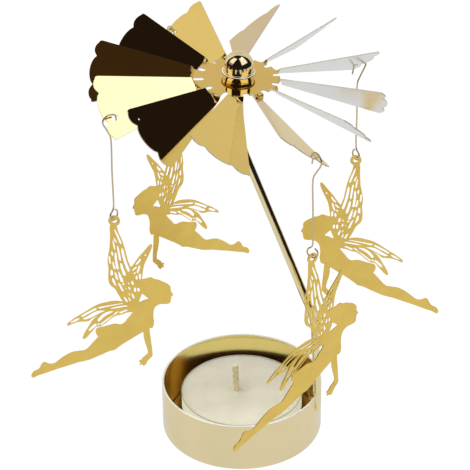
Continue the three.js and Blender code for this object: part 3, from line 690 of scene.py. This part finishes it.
tips = {1: tip_side(1), -1: tip_side(-1)}
for k in range(BLADES):
    rows_r = rows_of(k)
    side_r = rows_r + [18, 22, 27, 32, 36, 39.5]
    for r in side_r:
        outline.append(polar(k, r, -edge(r, -1)))
    for x, y in tips[-1]:
        outline.append(polar(k, x, -y))
    for x, y in reversed(tips[1][:-1]):
        outline.append(polar(k, x, y))
    for r in reversed(side_r):
        outline.append(polar(k, r, edge(r, 1)))
    # round inner end of the slit towards the next blade
    phi = rad(BLADE_AZ0 + 30 * k + 15)
    ahead = np.array([-math.sin(phi), math.cos(phi)])
    c = np.array([math.cos(phi), math.sin(phi)]) * (SLIT_R / math.cos(rad(15))) + ahead * (EDGE_N - EDGE_P) / 2
    w = (EDGE_N + EDGE_P) / 2
    for j in range(1, 10):
        a = phi - math.pi / 2 - math.pi * j / 10
        outline.append(tuple(c + w * np.array([math.cos(a), math.sin(a)])))
    for r in rows_r:
        lo, hi = -edge(r, -1), edge(r, 1)
        for q in (0.07, 0.15, 0.25, 0.38, 0.5, 0.62, 0.75, 0.85, 0.93):
            extra.append(polar(k, r, lo + (hi - lo) * q))
    for r in (20, 26, 32, 37):
        for q in (-0.6, -0.2, 0.2, 0.6):
            extra.append(polar(k, r, q * edge(r, -1)))
    for r in (4.0, 5.6, 7.2, 8.6, 9.3):
        for a in (-11.25, -3.75, 3.75, 11.25):
            phi2 = rad(BLADE_AZ0 + 30 * k + a)
            extra.append((r * math.cos(phi2), r * math.sin(phi2)))
holes = [[(BORE_R * math.cos(2 * math.pi * i / 64), BORE_R * math.sin(2 * math.pi * i / 64)) for i in range(64)]]
for k in range(BLADES):
    spec = HOOK_HOLES.get(k) or SPARE_HOLES.get(k)
    if spec:
        n = 28
        holes.append([polar(k, spec[0] + spec[2] * math.cos(2 * math.pi * i / n), spec[1] + spec[2] * math.sin(2 * math.pi * i / n)) for i in range(n)])


def clean(loop, gap=1e-4):
    out = []
    for q in loop:
        if not out or math.dist(q, out[-1]) > gap:
            out.append(q)
    if math.dist(out[0], out[-1]) <= gap:
        out.pop()
    return out


outline = clean(outline)
V2, F2 = triangulate([outline] + holes, extra, lambda c: inside(c, outline) & ~np.any([inside(c, h) for h in holes], axis=0))
top, bottom = [], []
for x, y in V2:
    R, phi = math.hypot(x, y), math.degrees(math.atan2(y, x))
    k = int(round((phi - BLADE_AZ0) / 30)) % 12
    d = rad(phi - (BLADE_AZ0 + 30 * k))
    r, h = R * math.cos(d), R * math.sin(d)
    if R < SLIT_R:
        top.append(lean((x, y, SHEET_T / 2)))
        bottom.append(lean((x, y, -SHEET_T / 2)))
    else:
        top.append(lean(blade_point(k, r, h, SHEET_T / 2)))
        bottom.append(lean(blade_point(k, r, h, -SHEET_T / 2)))
v, f, kind = thicken(top, bottom, F2)
for i, q in enumerate(F2):                    # the faces of each fold get a rougher finish and a darker gold, the darker gold being painted shade in the creases
    x, y = V2[q].mean(axis=0)
    k = int(round((math.degrees(math.atan2(y, x)) - BLADE_AZ0) / 30)) % 12
    r = math.hypot(x, y) * math.cos(math.atan2(y, x) - rad(BLADE_AZ0 + 30 * k))
    if abs(r - BLADE_SET[k][3]) < FOLD:
        kind[i] = 3
piece("blade_sheet", v, f, [M["rotor_top"], M["rotor_under"], M["rotor_edge"], M["rotor_fold"]], "rotor", ["rotor"], kind, angle=32)

# hub: bead ring, domed cap and the bearing socket inside, heights from the middle of the sheet
t2 = 0.2


def leaned(vf):
    v, f = vf
    return [lean(q) for q in v], f


bead = [(4.27, t2 + 0.02), (4.45, t2 + 0.02), (4.5, t2 + 0.07), (4.5, t2 + 1.3), (4.56, t2 + 1.42), (4.7, t2 + 1.5)] \
    + arc(4.78, t2 + 1.68, 0.18, -90, 90, 12) + [(4.5, t2 + 1.86), (4.27, t2 + 1.8)]
v, f = leaned(lathe(bead, 192))
# the rows under the rolled edge wear the dark brown finish, painted shade beneath the edge
piece("bead_ring", v, f, [M["hub_wall"], M["hub_edge"], M["hub_under_shade"]], "rotor", ["hub_ring"],
      [1 if 15 <= i // 192 <= 18 else 2 if 4 <= i // 192 < 15 else 0 for i in range(len(f))])
zc, R, r_in, z0 = 4.0, 4.25, 3.5, t2 + 0.02
dome = [(r_in, z0), (R - 0.05, z0), (R, z0 + 0.05)] + [(R * math.cos(rad(a)), zc + R * math.sin(rad(a))) for a in np.linspace(0, 88.5, 30)] \
    + [(0, zc + R), (0, zc + r_in)]
v1, f1 = lathe([(0, zc + r_in)] + [(r_in * math.sin(rad(a)), zc + r_in * math.cos(rad(a))) for a in np.linspace(8, 90, 12)]
               + dome[:-1], 192)
wall = [1 if sum(v1[q][2] for q in face) / 4 < zc else 0 for face in f1]
v, f = leaned((v1, f1))
piece("dome_cap", v, f, [M["hub"], M["hub_wall"]], "rotor", ["hub_cap"], wall)
sock = [(1.6, -t2 - 1.2), (4.0, -t2 - 1.2), (4.2, -t2 - 1.05), (4.2, -t2 - 0.85), (4.0, -t2 - 0.7), (2.7, -t2 - 0.45), (2.5, -t2 - 0.25), (2.5, 3.6), (2.3, 4.0),
        (1.7, 4.75), (0.9, 4.86), (0.01, 4.9), (0.01, TIP_DZ + 0.1), (0.3, TIP_DZ - 0.5), (0.9, TIP_DZ - 2.0), (1.35, TIP_DZ - 3.2)]
v, f = leaned(lathe(sock, 96))
piece("needle_socket", v, f, [M["socket"]], "rotor", ["bearing_socket"])

# ---------------------------------------------------------------------- hooks
for i, (x, y, z, turn) in enumerate(RINGS):
    k = HOOK_BLADES[i]
    hole = lean(blade_point(k, HOOK_HOLES[k][0], HOOK_HOLES[k][1]))
    az = math.atan2(hole[1], hole[0])
    out_v, up_v = np.array([math.cos(az), math.sin(az), 0]), np.array([0, 0, 1.0])
    crook = [hole + out_v * a + up_v * h for a, h in (
        (-0.8, -2.9), (-0.5, -1.5), (-0.3, -0.3), (-0.2, 0.5), (0.3, 1.1), (1.2, 1.4), (2.4, 1.3), (3.3, 0.8), (3.85, -0.1), (3.75, -1.2), (3.2, -2.3))]
    shank = np.array([x, y, hole[2] - 6.5])
    mid = crook[-1] + (shank - crook[-1]) * 0.55 + np.array([0, 0, 0.25])
    d = np.array([math.cos(rad(turn + LOOP_TURN[i])), math.sin(rad(turn + LOOP_TURN[i])), 0])
    zc2 = z + 0.3 + LOOP_R
    loop = []
    for j in range(17):
        a = rad(118 + (420 - 118) * j / 16)
        loop.append(np.array([x, y, zc2]) + d * LOOP_R * math.cos(a) + up_v * LOOP_R * math.sin(a))
    neck, neck2 = np.array([x, y, zc2 + LOOP_R + 1.0]), np.array([x, y, zc2 + LOOP_R + 0.3]) - d * 0.25
    pts = smooth_path(crook + [mid, shank, shank + (neck - shank) * 0.5, neck, neck2] + loop, 0.22)
    v, f = tube(pts, WIRE_R, 16)
    piece(f"wire_hook_{i + 1}", v, f, [M["wire"]], f"hook_{i + 1}", [f"hook_{i + 1}"], angle=60)

# --------------------------------------------------------------------- charms
# outlines in millimetres from the middle of the ring: [sideways, up]
BACK = [(4.49, -31.45), (3.85, -32.70), (2.57, -34.47), (1.72, -35.73), (0.57, -36.53), (-0.74, -36.41), (-1.96, -36.56), (-3.00, -36.98),
        (-4.44, -37.55), (-5.68, -37.92), (-6.82, -38.43), (-7.13, -39.42), (-6.81, -40.63), (-6.39, -41.33), (-7.08, -42.23), (-8.38, -43.91),
        (-9.68, -45.59), (-10.75, -46.57), (-12.41, -46.99), (-14.49, -47.49), (-16.18, -48.46), (-17.46, -49.41)]
LEG = [(-18.54, -50.38), (-19.42, -51.21), (-20.43, -52.06), (-21.42, -52.35), (-22.22, -52.32), (-22.85, -52.01), (-23.49, -51.82), (-24.25, -52.39),
       (-24.70, -53.30), (-25.15, -54.20), (-25.92, -54.94), (-26.76, -55.38), (-27.36, -56.01), (-27.75, -57.01), (-27.54, -57.65), (-27.06, -57.72),
       (-26.38, -57.32), (-25.54, -56.78), (-23.88, -56.08), (-22.22, -55.29), (-20.56, -54.51), (-18.91, -53.72), (-17.26, -53.03), (-15.12, -52.12),
       (-13.14, -51.22), (-11.35, -50.62), (-9.39, -49.92), (-7.58, -48.93), (-5.45, -47.74)]
FRONT = [(-3.04, -46.35), (-1.50, -45.83), (-0.23, -44.65), (1.45, -43.19), (3.34, -41.73), (5.22, -40.27), (6.47, -39.34), (7.30, -38.80),
         (7.45, -40.50), (7.79, -42.44), (8.34, -44.62), (8.53, -46.33), (8.06, -47.10), (7.01, -48.15), (6.47, -49.05), (5.73, -49.60), (5.86, -49.95),
         (6.43, -50.10), (5.86, -50.65), (6.10, -50.95), (6.68, -50.66), (7.02, -51.18), (7.85, -50.58), (8.40, -49.31), (9.25, -48.26), (9.89, -47.36),
         (9.89, -46.00), (9.70, -43.31), (9.48, -40.38), (9.33, -38.44), (9.37, -37.27), (10.18, -37.12), (10.51, -36.42), (10.75, -34.95),
         (10.59, -33.51), (10.63, -32.06), (10.80, -30.80)]
THROAT = [(11.13, -29.80), (11.82, -28.96), (12.80, -28.40)]
PROFILE = [(14.0, -28.25), (15.0, -28.12), (15.75, -27.75), (15.98, -27.2), (15.9, -26.72), (16.12, -26.4), (15.98, -26.12), (16.22, -25.82),
           (16.1, -25.42), (16.72, -25.05), (16.62, -24.72), (16.2, -23.95), (16.02, -23.25), (16.08, -22.6), (15.82, -21.9)]
HAIR = [(15.25, -21.32), (14.42, -20.80), (13.48, -20.38), (12.54, -19.94), (11.3, -19.72), (10.66, -19.36), (10.09, -19.12), (9.32, -19.38), (8.27, -19.78),
        (7.60, -19.95), (6.75, -20.5)]
NAPE = [(6.95, -21.6), (7.05, -23.0), (7.0, -24.4), (6.5, -25.6), (5.9, -27.0), (5.0, -28.6), (4.5, -30.0)]
FIGURE = BACK + LEG + FRONT + THROAT + PROFILE + HAIR + NAPE
WINGS = [
    [(-1.11, -1.3), (-1.42, -5.02), (-1.71, -9.21), (-2.25, -12.04), (-2.50, -14.16), (-2.30, -16.73), (-2.49, -19.10), (-2.43, -21.11),
     (-1.92, -22.51), (-0.66, -23.74), (0.27, -25.60), (1.30, -27.69), (2.25, -29.31), (3.53, -30.60), (5.18, -29.4), (5.85, -27.19), (5.6, -25.0),
     (5.4, -22.5), (5.05, -21.04), (4.50, -19.42), (4.46, -17.53), (4.26, -15.78), (3.54, -13.59), (3.12, -11.28), (2.62, -8.74),
     (2.01, -6.46), (1.11, -3.96), (0.36, -1.4)],
    [(10.40, -7.58), (10.86, -7.68), (10.85, -8.53), (10.33, -10.07), (9.79, -11.38), (9.09, -13.05), (8.49, -14.49), (8.02, -16.63), (7.77, -18.52),
     (7.54, -20.07), (7.3, -21.5), (7.4, -23.4), (7.1, -25.2), (5.9, -27.0), (4.20, -24.0), (3.04, -21.16), (2.92, -18.80), (3.87, -17.33),
     (4.32, -15.94), (5.05, -15.03), (6.72, -12.36), (8.59, -9.88), (9.93, -8.0)],
    [(3.99, -28.60), (1.97, -28.48), (0.37, -28.14), (-1.65, -28.25), (-3.28, -28.73), (-4.92, -29.23), (-6.15, -29.79), (-7.61, -30.71),
     (-9.49, -32.15), (-11.59, -33.73), (-13.49, -35.17), (-14.77, -36.34), (-15.67, -37.25), (-15.50, -37.85), (-14.62, -37.43), (-13.36, -36.74),
     (-11.71, -36.16), (-10.07, -35.99), (-8.83, -35.58), (-7.98, -34.73), (-6.31, -33.54), (-3.41, -32.04), (-0.55, -31.27), (1.88, -31.10),
     (4.31, -31.2), (4.96, -29.50)],
    [(4.57, -29.29), (1.91, -30.40), (-0.54, -31.0), (-2.78, -31.52), (-4.66, -32.76), (-6.32, -33.78), (-7.59, -35.07), (-8.46, -36.33),
     (-9.35, -38.09), (-10.23, -39.61), (-10.91, -41.12), (-11.16, -42.11), (-10.77, -42.46), (-9.71, -41.53), (-8.84, -40.38), (-7.76, -38.97),
     (-6.79, -37.69), (-5.66, -37.48), (-4.82, -36.95), (-3.56, -35.86), (-2.08, -34.40), (-0.62, -33.32), (1.01, -32.84), (2.66, -32.02), (4.70, -31.42)],
]
CELLS = [
    [(-0.11, -2.83), (0.22, -2.98), (0.76, -4.21), (1.40, -5.80), (1.87, -7.62), (1.67, -8.14), (1.18, -7.31), (0.52, -5.38), (0.08, -4.02)],
    [(1.97, -9.24), (2.29, -9.57), (2.71, -11.76), (3.23, -14.08), (3.78, -15.92), (4.02, -17.04), (3.52, -17.63), (3.00, -16.44), (2.38, -14.36), (1.96, -12.27), (1.72, -10.42)],
    [(-0.38, -5.66), (-0.06, -6.04), (0.49, -7.23), (0.43, -7.75), (0.01, -7.38), (-0.35, -6.54)],
    [(0.50, -8.51), (0.89, -8.84), (1.25, -10.91), (1.50, -12.77), (1.44, -13.99), (1.07, -13.77), (0.76, -11.87), (0.53, -10.02)],
    [(1.38, -14.41), (1.80, -14.86), (2.24, -16.48), (2.78, -18.33), (2.63, -19.10), (2.08, -18.89), (1.63, -17.45), (1.25, -15.83)],
    [(-0.71, -6.56), (-0.40, -7.17), (-0.07, -9.12), (-0.07, -10.10), (-0.42, -9.88), (-0.70, -8.23)],
    [(-0.08, -10.87), (0.25, -11.13), (0.38, -13.06), (0.60, -15.16), (0.74, -16.56), (0.39, -16.98), (-0.03, -16.37), (-0.27, -14.27), (-0.38, -12.40)],
    [(0.67, -17.46), (1.08, -18.19), (1.63, -19.58), (1.99, -20.86), (1.83, -21.27), (1.29, -21.40), (0.93, -20.33), (0.58, -18.93)],
    [(-1.16, -10.58), (-0.83, -10.79), (-0.78, -11.96), (-0.99, -12.29), (-1.27, -11.80)],
    [(-1.00, -14.12), (-0.67, -14.41), (-0.42, -15.69), (-0.06, -16.65), (-0.41, -16.96), (-0.85, -16.46), (-1.06, -15.25)],
    [(-0.52, -17.76), (-0.02, -18.25), (0.33, -19.65), (0.50, -20.54), (-0.04, -20.55), (-0.42, -19.27)],
    [(0.27, -21.38), (0.85, -21.75), (1.51, -23.14), (2.00, -24.54), (1.51, -24.62), (0.82, -23.18)],
    [(-2.06, -12.26), (-1.71, -12.36), (-1.61, -13.87), (-1.54, -15.09), (-1.95, -15.00), (-2.12, -13.67)],
    [(-1.55, -17.04), (-1.18, -17.26), (-1.02, -18.31), (-1.15, -19.07), (-1.70, -19.22), (-1.79, -18.12)],
    [(-1.22, -19.86), (-0.85, -20.19), (-0.44, -21.59), (-0.17, -22.90), (-0.62, -22.60), (-1.28, -21.40), (-1.38, -20.46)],
    [(1.82, -26.30), (2.29, -26.56), (3.08, -28.07), (2.69, -28.38), (2.17, -27.57)],
    [(1.93, -21.46), (2.29, -21.91), (1.89, -22.45), (1.53, -21.95)],
    [(3.58, -21.27), (3.85, -21.63), (3.55, -22.08), (3.28, -21.71)],
    [(2.71, -23.26), (2.92, -23.54), (2.69, -23.84), (2.47, -23.56)],
    [(3.59, -22.69), (3.97, -23.24), (4.01, -23.83), (3.65, -23.92), (3.37, -23.27)],
    [(4.46, -20.60), (4.80, -20.70), (5.06, -21.75), (4.84, -22.29), (4.42, -21.84), (4.28, -21.20)],
    [(5.29, -22.88), (5.62, -23.03), (5.62, -24.46), (5.33, -24.71), (5.06, -24.37), (5.07, -23.30)],
    [(6.35, -22.87), (6.74, -23.32), (6.67, -24.23), (6.34, -24.53), (6.07, -24.07), (6.08, -23.24)],
    [(4.31, -25.01), (4.74, -25.34), (5.12, -26.80), (4.79, -27.06), (4.36, -26.13)],
    [(3.41, -24.94), (3.85, -25.75), (3.67, -26.12), (3.37, -25.54)],
    [(3.36, -26.42), (3.98, -27.82), (3.73, -28.08), (3.28, -27.10)],
    [(8.91, -10.96), (9.14, -11.18), (8.89, -11.71), (8.57, -11.79), (8.58, -11.40)],
    [(7.27, -12.64), (7.46, -12.91), (6.86, -14.23), (6.04, -15.04), (5.77, -14.83), (6.52, -13.66)],
    [(6.03, -15.44), (6.22, -15.79), (5.39, -16.77), (4.82, -17.16), (4.73, -16.81), (5.52, -15.87)],
    [(6.94, -14.92), (7.19, -15.19), (6.73, -17.12), (6.31, -17.99), (6.05, -17.72), (6.48, -16.24)],
    [(5.53, -17.42), (5.80, -17.69), (5.37, -18.42), (5.10, -18.16)],
    [(6.81, -17.92), (7.22, -18.04), (7.21, -19.74), (6.88, -20.13), (6.66, -19.30)],
    [(5.97, -18.63), (6.20, -18.73), (6.25, -19.79), (5.87, -20.29), (5.63, -19.78)],
    [(-5.88, -30.61), (-4.55, -30.18), (-2.51, -29.65), (-0.27, -29.09), (1.36, -28.75), (1.96, -28.91), (0.33, -29.41), (-1.71, -30.01), (-3.76, -30.61), (-5.40, -31.19), (-5.96, -31.10)],
    [(-2.66, -31.03), (-1.53, -30.48), (0.51, -29.81), (2.74, -29.51), (3.10, -29.80), (1.30, -30.32), (-0.33, -30.75), (-1.76, -31.05)],
    [(-11.42, -34.27), (-10.56, -33.42), (-8.89, -32.24), (-7.43, -31.31), (-6.44, -30.89), (-6.53, -31.50), (-7.89, -32.54), (-9.56, -33.61), (-11.02, -34.54)],
    [(-10.84, -35.06), (-9.59, -34.21), (-7.90, -32.90), (-6.24, -31.96), (-4.61, -31.70), (-3.80, -31.75), (-5.47, -32.78), (-7.14, -33.85), (-8.80, -34.90), (-10.45, -35.48)],
    [(-14.69, -36.82), (-13.83, -35.92), (-12.68, -35.12), (-11.85, -34.88), (-11.91, -35.37), (-12.93, -36.23), (-13.97, -36.71), (-14.60, -37.06)],
    [(-6.38, -35.36), (-5.52, -33.97), (-4.25, -32.69), (-2.59, -31.87), (-1.38, -31.80), (-1.59, -32.10), (-3.05, -33.10), (-4.51, -34.28), (-5.58, -35.55), (-6.21, -35.96)],
    [(-5.74, -36.90), (-4.78, -35.87), (-3.10, -34.32), (-1.42, -33.01), (-0.78, -32.13), (0.24, -31.70), (-0.40, -32.59), (-1.44, -33.39), (-2.71, -34.68), (-4.19, -36.10), (-5.45, -37.15)],
    [(0.22, -32.24), (1.47, -31.44), (2.69, -30.96), (2.99, -31.30), (1.85, -31.97), (0.61, -32.65)],
    [(-9.19, -39.06), (-8.32, -37.78), (-7.26, -36.75), (-6.68, -36.59), (-6.77, -37.20), (-7.73, -38.36), (-8.59, -39.26), (-9.22, -39.67)],
    [(-6.45, -36.94), (-5.81, -36.18), (-5.94, -36.91), (-6.37, -37.47)],
]
GAP = [(7.49, -25.00), (7.91, -25.31), (8.56, -25.90), (9.21, -26.54), (9.30, -26.77), (8.72, -27.03), (7.84, -27.36), (7.06, -27.86), (6.44, -28.01),
       (6.50, -27.55), (6.81, -26.74), (7.13, -25.81)]


def soft(poly, step):
    return clean([tuple(q) for q in smooth_path(poly, step, closed=True)])


fig = soft(FIGURE, 0.3)
wings = [soft(w, 0.3) for w in WINGS]
cells = [soft(c, 0.22) for c in CELLS]
gap = soft(GAP, 0.25)
ring_out = [(RING_R * math.cos(2 * math.pi * i / 40), RING_R * math.sin(2 * math.pi * i / 40)) for i in range(40)]
ring_in = [(RING_HOLE * math.cos(2 * math.pi * i / 28), RING_HOLE * math.sin(2 * math.pi * i / 28)) for i in range(28)]


def charm_keep(c):
    lace = np.any([inside(c, w) for w in wings], axis=0) & ~np.any([inside(c, q) for q in cells], axis=0)
    return (inside(c, fig) | lace | inside(c, ring_out)) & ~inside(c, ring_in) & ~inside(c, gap)


V2, F2 = triangulate([fig, *wings, *cells, gap, ring_out, ring_in], [], charm_keep)
for i, (x, y, z, turn) in enumerate(RINGS):
    rot = np.array(Matrix.Rotation(rad(turn), 3, "Z"))
    place = np.array([x, y, z])
    front = [rot @ np.array([a, -CHARM_T / 2, b]) + place for a, b in V2]
    rear = [rot @ np.array([a, CHARM_T / 2, b]) + place for a, b in V2]
    v, f, kind = thicken(front, rear, F2)
    piece(f"winged_charm_{i + 1}", v, f, [M["charm"]], f"fairy_{i + 1}", [f"fairy_{i + 1}"], angle=30)

# --------------------------------------------------------------- floor, light
def disc(name, r, z, colour, strength):
    me = bpy.data.meshes.new(name)
    n = 96
    me.from_pydata([(0, 0, z)] + [(r * math.cos(2 * math.pi * i / n), r * math.sin(2 * math.pi * i / n), z) for i in range(n)],
                   [], [(0, 1 + i, 1 + (i + 1) % n) for i in range(n)])
    o = bpy.data.objects.new(name, me)
    scene.collection.objects.link(o)
    m, nt, bsdf = nodes_of(name)
    bsdf.inputs["Base Color"].default_value = (0.02, 0.02, 0.02, 1)
    bsdf.inputs["Roughness"].default_value = 1.0
    bsdf.inputs["Specular IOR Level"].default_value = 0.0
    bsdf.inputs["Emission Color"].default_value = (*colour, 1)
    bsdf.inputs["Emission Strength"].default_value = strength
    me.materials.append(m)
    o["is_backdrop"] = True
    return o


def only_camera(o):
    o.visible_diffuse = o.visible_glossy = o.visible_transmission = o.visible_volume_scatter = o.visible_shadow = False


# the table as the object's surfaces see it, and the bright white one under it that the picture shows
table = disc("table", 0.5, -0.0001, (1.0, 1.0, 0.99), FLOOR)
table.visible_camera = False
only_camera(disc("white_table", 0.8, -0.0002, (1, 1, 1), 1.02))
verts, faces = [], []
rings_n, seg_n = 16, 32
for j in range(1, rings_n):
    for i in range(seg_n):
        p, q = math.pi * j / rings_n, 2 * math.pi * i / seg_n
        verts.append((6 * math.sin(p) * math.cos(q), 6 * math.sin(p) * math.sin(q), 6 * math.cos(p)))
for j in range(rings_n - 2):
    for i in range(seg_n):
        faces.append((j * seg_n + i, j * seg_n + (i + 1) % seg_n, (j + 1) * seg_n + (i + 1) % seg_n, (j + 1) * seg_n + i))
faces += [tuple(range(seg_n)), tuple(range((rings_n - 2) * seg_n, (rings_n - 1) * seg_n))]
me = bpy.data.meshes.new("white_sweep")
me.from_pydata(verts, [], faces)
me.materials.append(bpy.data.materials["white_table"])
sweep = bpy.data.objects.new("white_sweep", me)
scene.collection.objects.link(sweep)
sweep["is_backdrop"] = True
only_camera(sweep)

world = bpy.data.worlds.new("studio")
scene.world = world
world.use_nodes = True
nt = world.node_tree
nt.nodes.clear()
tc = nt.nodes.new("ShaderNodeTexCoord")
direction = tc.outputs["Generated"]


def ray(az, el):
    """unit vector: az 0 points behind the object, + to the right"""
    a, e = rad(az), rad(el)
    return Vector((math.sin(a) * math.cos(e), math.cos(a) * math.cos(e), math.sin(e)))


def side_of(n, soft):
    """1 where the direction lies on n's side of the plane through the middle, with a soft edge in degrees"""
    d = nt.nodes.new("ShaderNodeVectorMath")
    d.operation = "DOT_PRODUCT"
    d.inputs[1].default_value = n
    nt.links.new(direction, d.inputs[0])
    m = nt.nodes.new("ShaderNodeMapRange")
    m.interpolation_type = "SMOOTHSTEP"
    m.inputs["From Min"].default_value = -rad(soft) / 2
    m.inputs["From Max"].default_value = rad(soft) / 2
    nt.links.new(d.outputs["Value"], m.inputs["Value"])
    return m.outputs["Result"]


def times(a, b):
    n = nt.nodes.new("ShaderNodeMath")
    n.operation = "MULTIPLY"
    nt.links.new(a, n.inputs[0])
    nt.links.new(b, n.inputs[1])
    return n.outputs[0]


current = None


def panel(color, corners, soft=2.0):
    """a softbox or screen: a patch of sky between corners given as azimuth and elevation, laid over what is there"""
    global current
    c = [ray(*q) for q in corners]
    mid = sum(c, Vector()).normalized()
    mask = None
    for p, q in zip(c, c[1:] + c[:1]):
        n = p.cross(q).normalized()
        if n.dot(mid) < 0:
            n = -n
        m = side_of(n, soft)
        mask = m if mask is None else times(mask, m)
    mix = nt.nodes.new("ShaderNodeMix")
    mix.data_type = "RGBA"
    nt.links.new(mask, mix.inputs["Factor"])
    if current is None:
        mix.inputs[6].default_value = (0.0145, 0.0098, 0.0145, 1)
    else:
        nt.links.new(current, mix.inputs[6])
    mix.inputs[7].default_value = (*color, 1)
    current = mix.outputs[2]


panel((0.69, 0.69, 0.685), [(-62, -24), (-66, 30), (-60, 52), (-30, 70), (38, 72), (64, 52), (68, 14), (56, -24)], 3)      # white sweep behind
panel((0.78, 0.77, 0.75), [(-60, 6), (-64, 50), (-44, 50), (-44, 6)], 9)
panel((0.64, 0.60, 0.54), [(-24, 20), (-30, 60), (34, 60), (22, 20)], 12)
panel((0.042, 0.025, 0.020), [(-102, 71), (-160, 71), (-170, 84), (-96, 84)], 6)
panel((1.02, 1.05, 1.12), [(-86, 20), (-86, 60), (-146, 68), (-128, 24)], 2)                       # softbox on the left
panel((1.02, 1.05, 1.12), [(100, 20), (88, 62), (177, 76), (155, 20)], 2)                           # softbox on the right
panel((0.42, 0.27, 0.17), [(-86, 8), (-86, 21), (-129, 26), (-124, 13)], 5)                       # dim wall under the left one
panel((1.25, 1.55, 3.1), [(84, 60), (78, 73), (132, 74), (126, 60)], 4)                            # cool card at its top edge
panel((0.635, 0.615, 0.655), [(-34, -24), (-34, 0), (32, 0), (32, -24)], 8)                          # the sweep is duller near the table
bg = nt.nodes.new("ShaderNodeBackground")
nt.links.new(current, bg.inputs["Color"])
out = nt.nodes.new("ShaderNodeOutputWorld")
nt.links.new(bg.outputs[0], out.inputs[0])

# a wide soft lamp for the matt surfaces
lamp = bpy.data.lights.new("overhead_fill", "AREA")
lamp.shape, lamp.size, lamp.energy, lamp.color = "DISK", 0.9, 12.6, (1.0, 0.99, 0.95)
fill = bpy.data.objects.new("overhead_fill", lamp)
scene.collection.objects.link(fill)
fill.location = (-0.25, -0.35, 1.15)
fill.rotation_euler = (Vector((0, 0, 0.05)) - Vector(fill.location)).to_track_quat("-Z", "Y").to_euler()
fill.visible_glossy = False
fill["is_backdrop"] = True

scene.view_settings.view_transform = "Standard"
scene.view_settings.look = "None"
scene.view_settings.exposure = 0.0
scene.view_settings.gamma = 1.0

# --------------------------------------------------------------------- camera
D, ELEV, ROLL, TX, TZ = 666.43, rad(31.953), rad(-0.568), -1.64, 70.37
back = Vector((0, -math.cos(ELEV), math.sin(ELEV)))
right, up = Vector((1, 0, 0)), Vector((0, math.sin(ELEV), math.cos(ELEV)))
r2 = right * math.cos(ROLL) + up * math.sin(ROLL)
u2 = -right * math.sin(ROLL) + up * math.cos(ROLL)
cam = bpy.data.cameras.new("camera")
cam.sensor_width = 36.0
cam.lens = 36.0 * 2200.0 / 470.0
cam.clip_start, cam.clip_end = 0.02, 20.0
cam.dof.use_dof = False
co = bpy.data.objects.new("camera", cam)
scene.collection.objects.link(co)
loc = (Vector((TX, 0, TZ)) + back * D) * 0.001
co.matrix_world = Matrix(((r2.x, u2.x, back.x, loc.x), (r2.y, u2.y, back.y, loc.y), (r2.z, u2.z, back.z, loc.z), (0, 0, 0, 1)))
scene.camera = co

lo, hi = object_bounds()
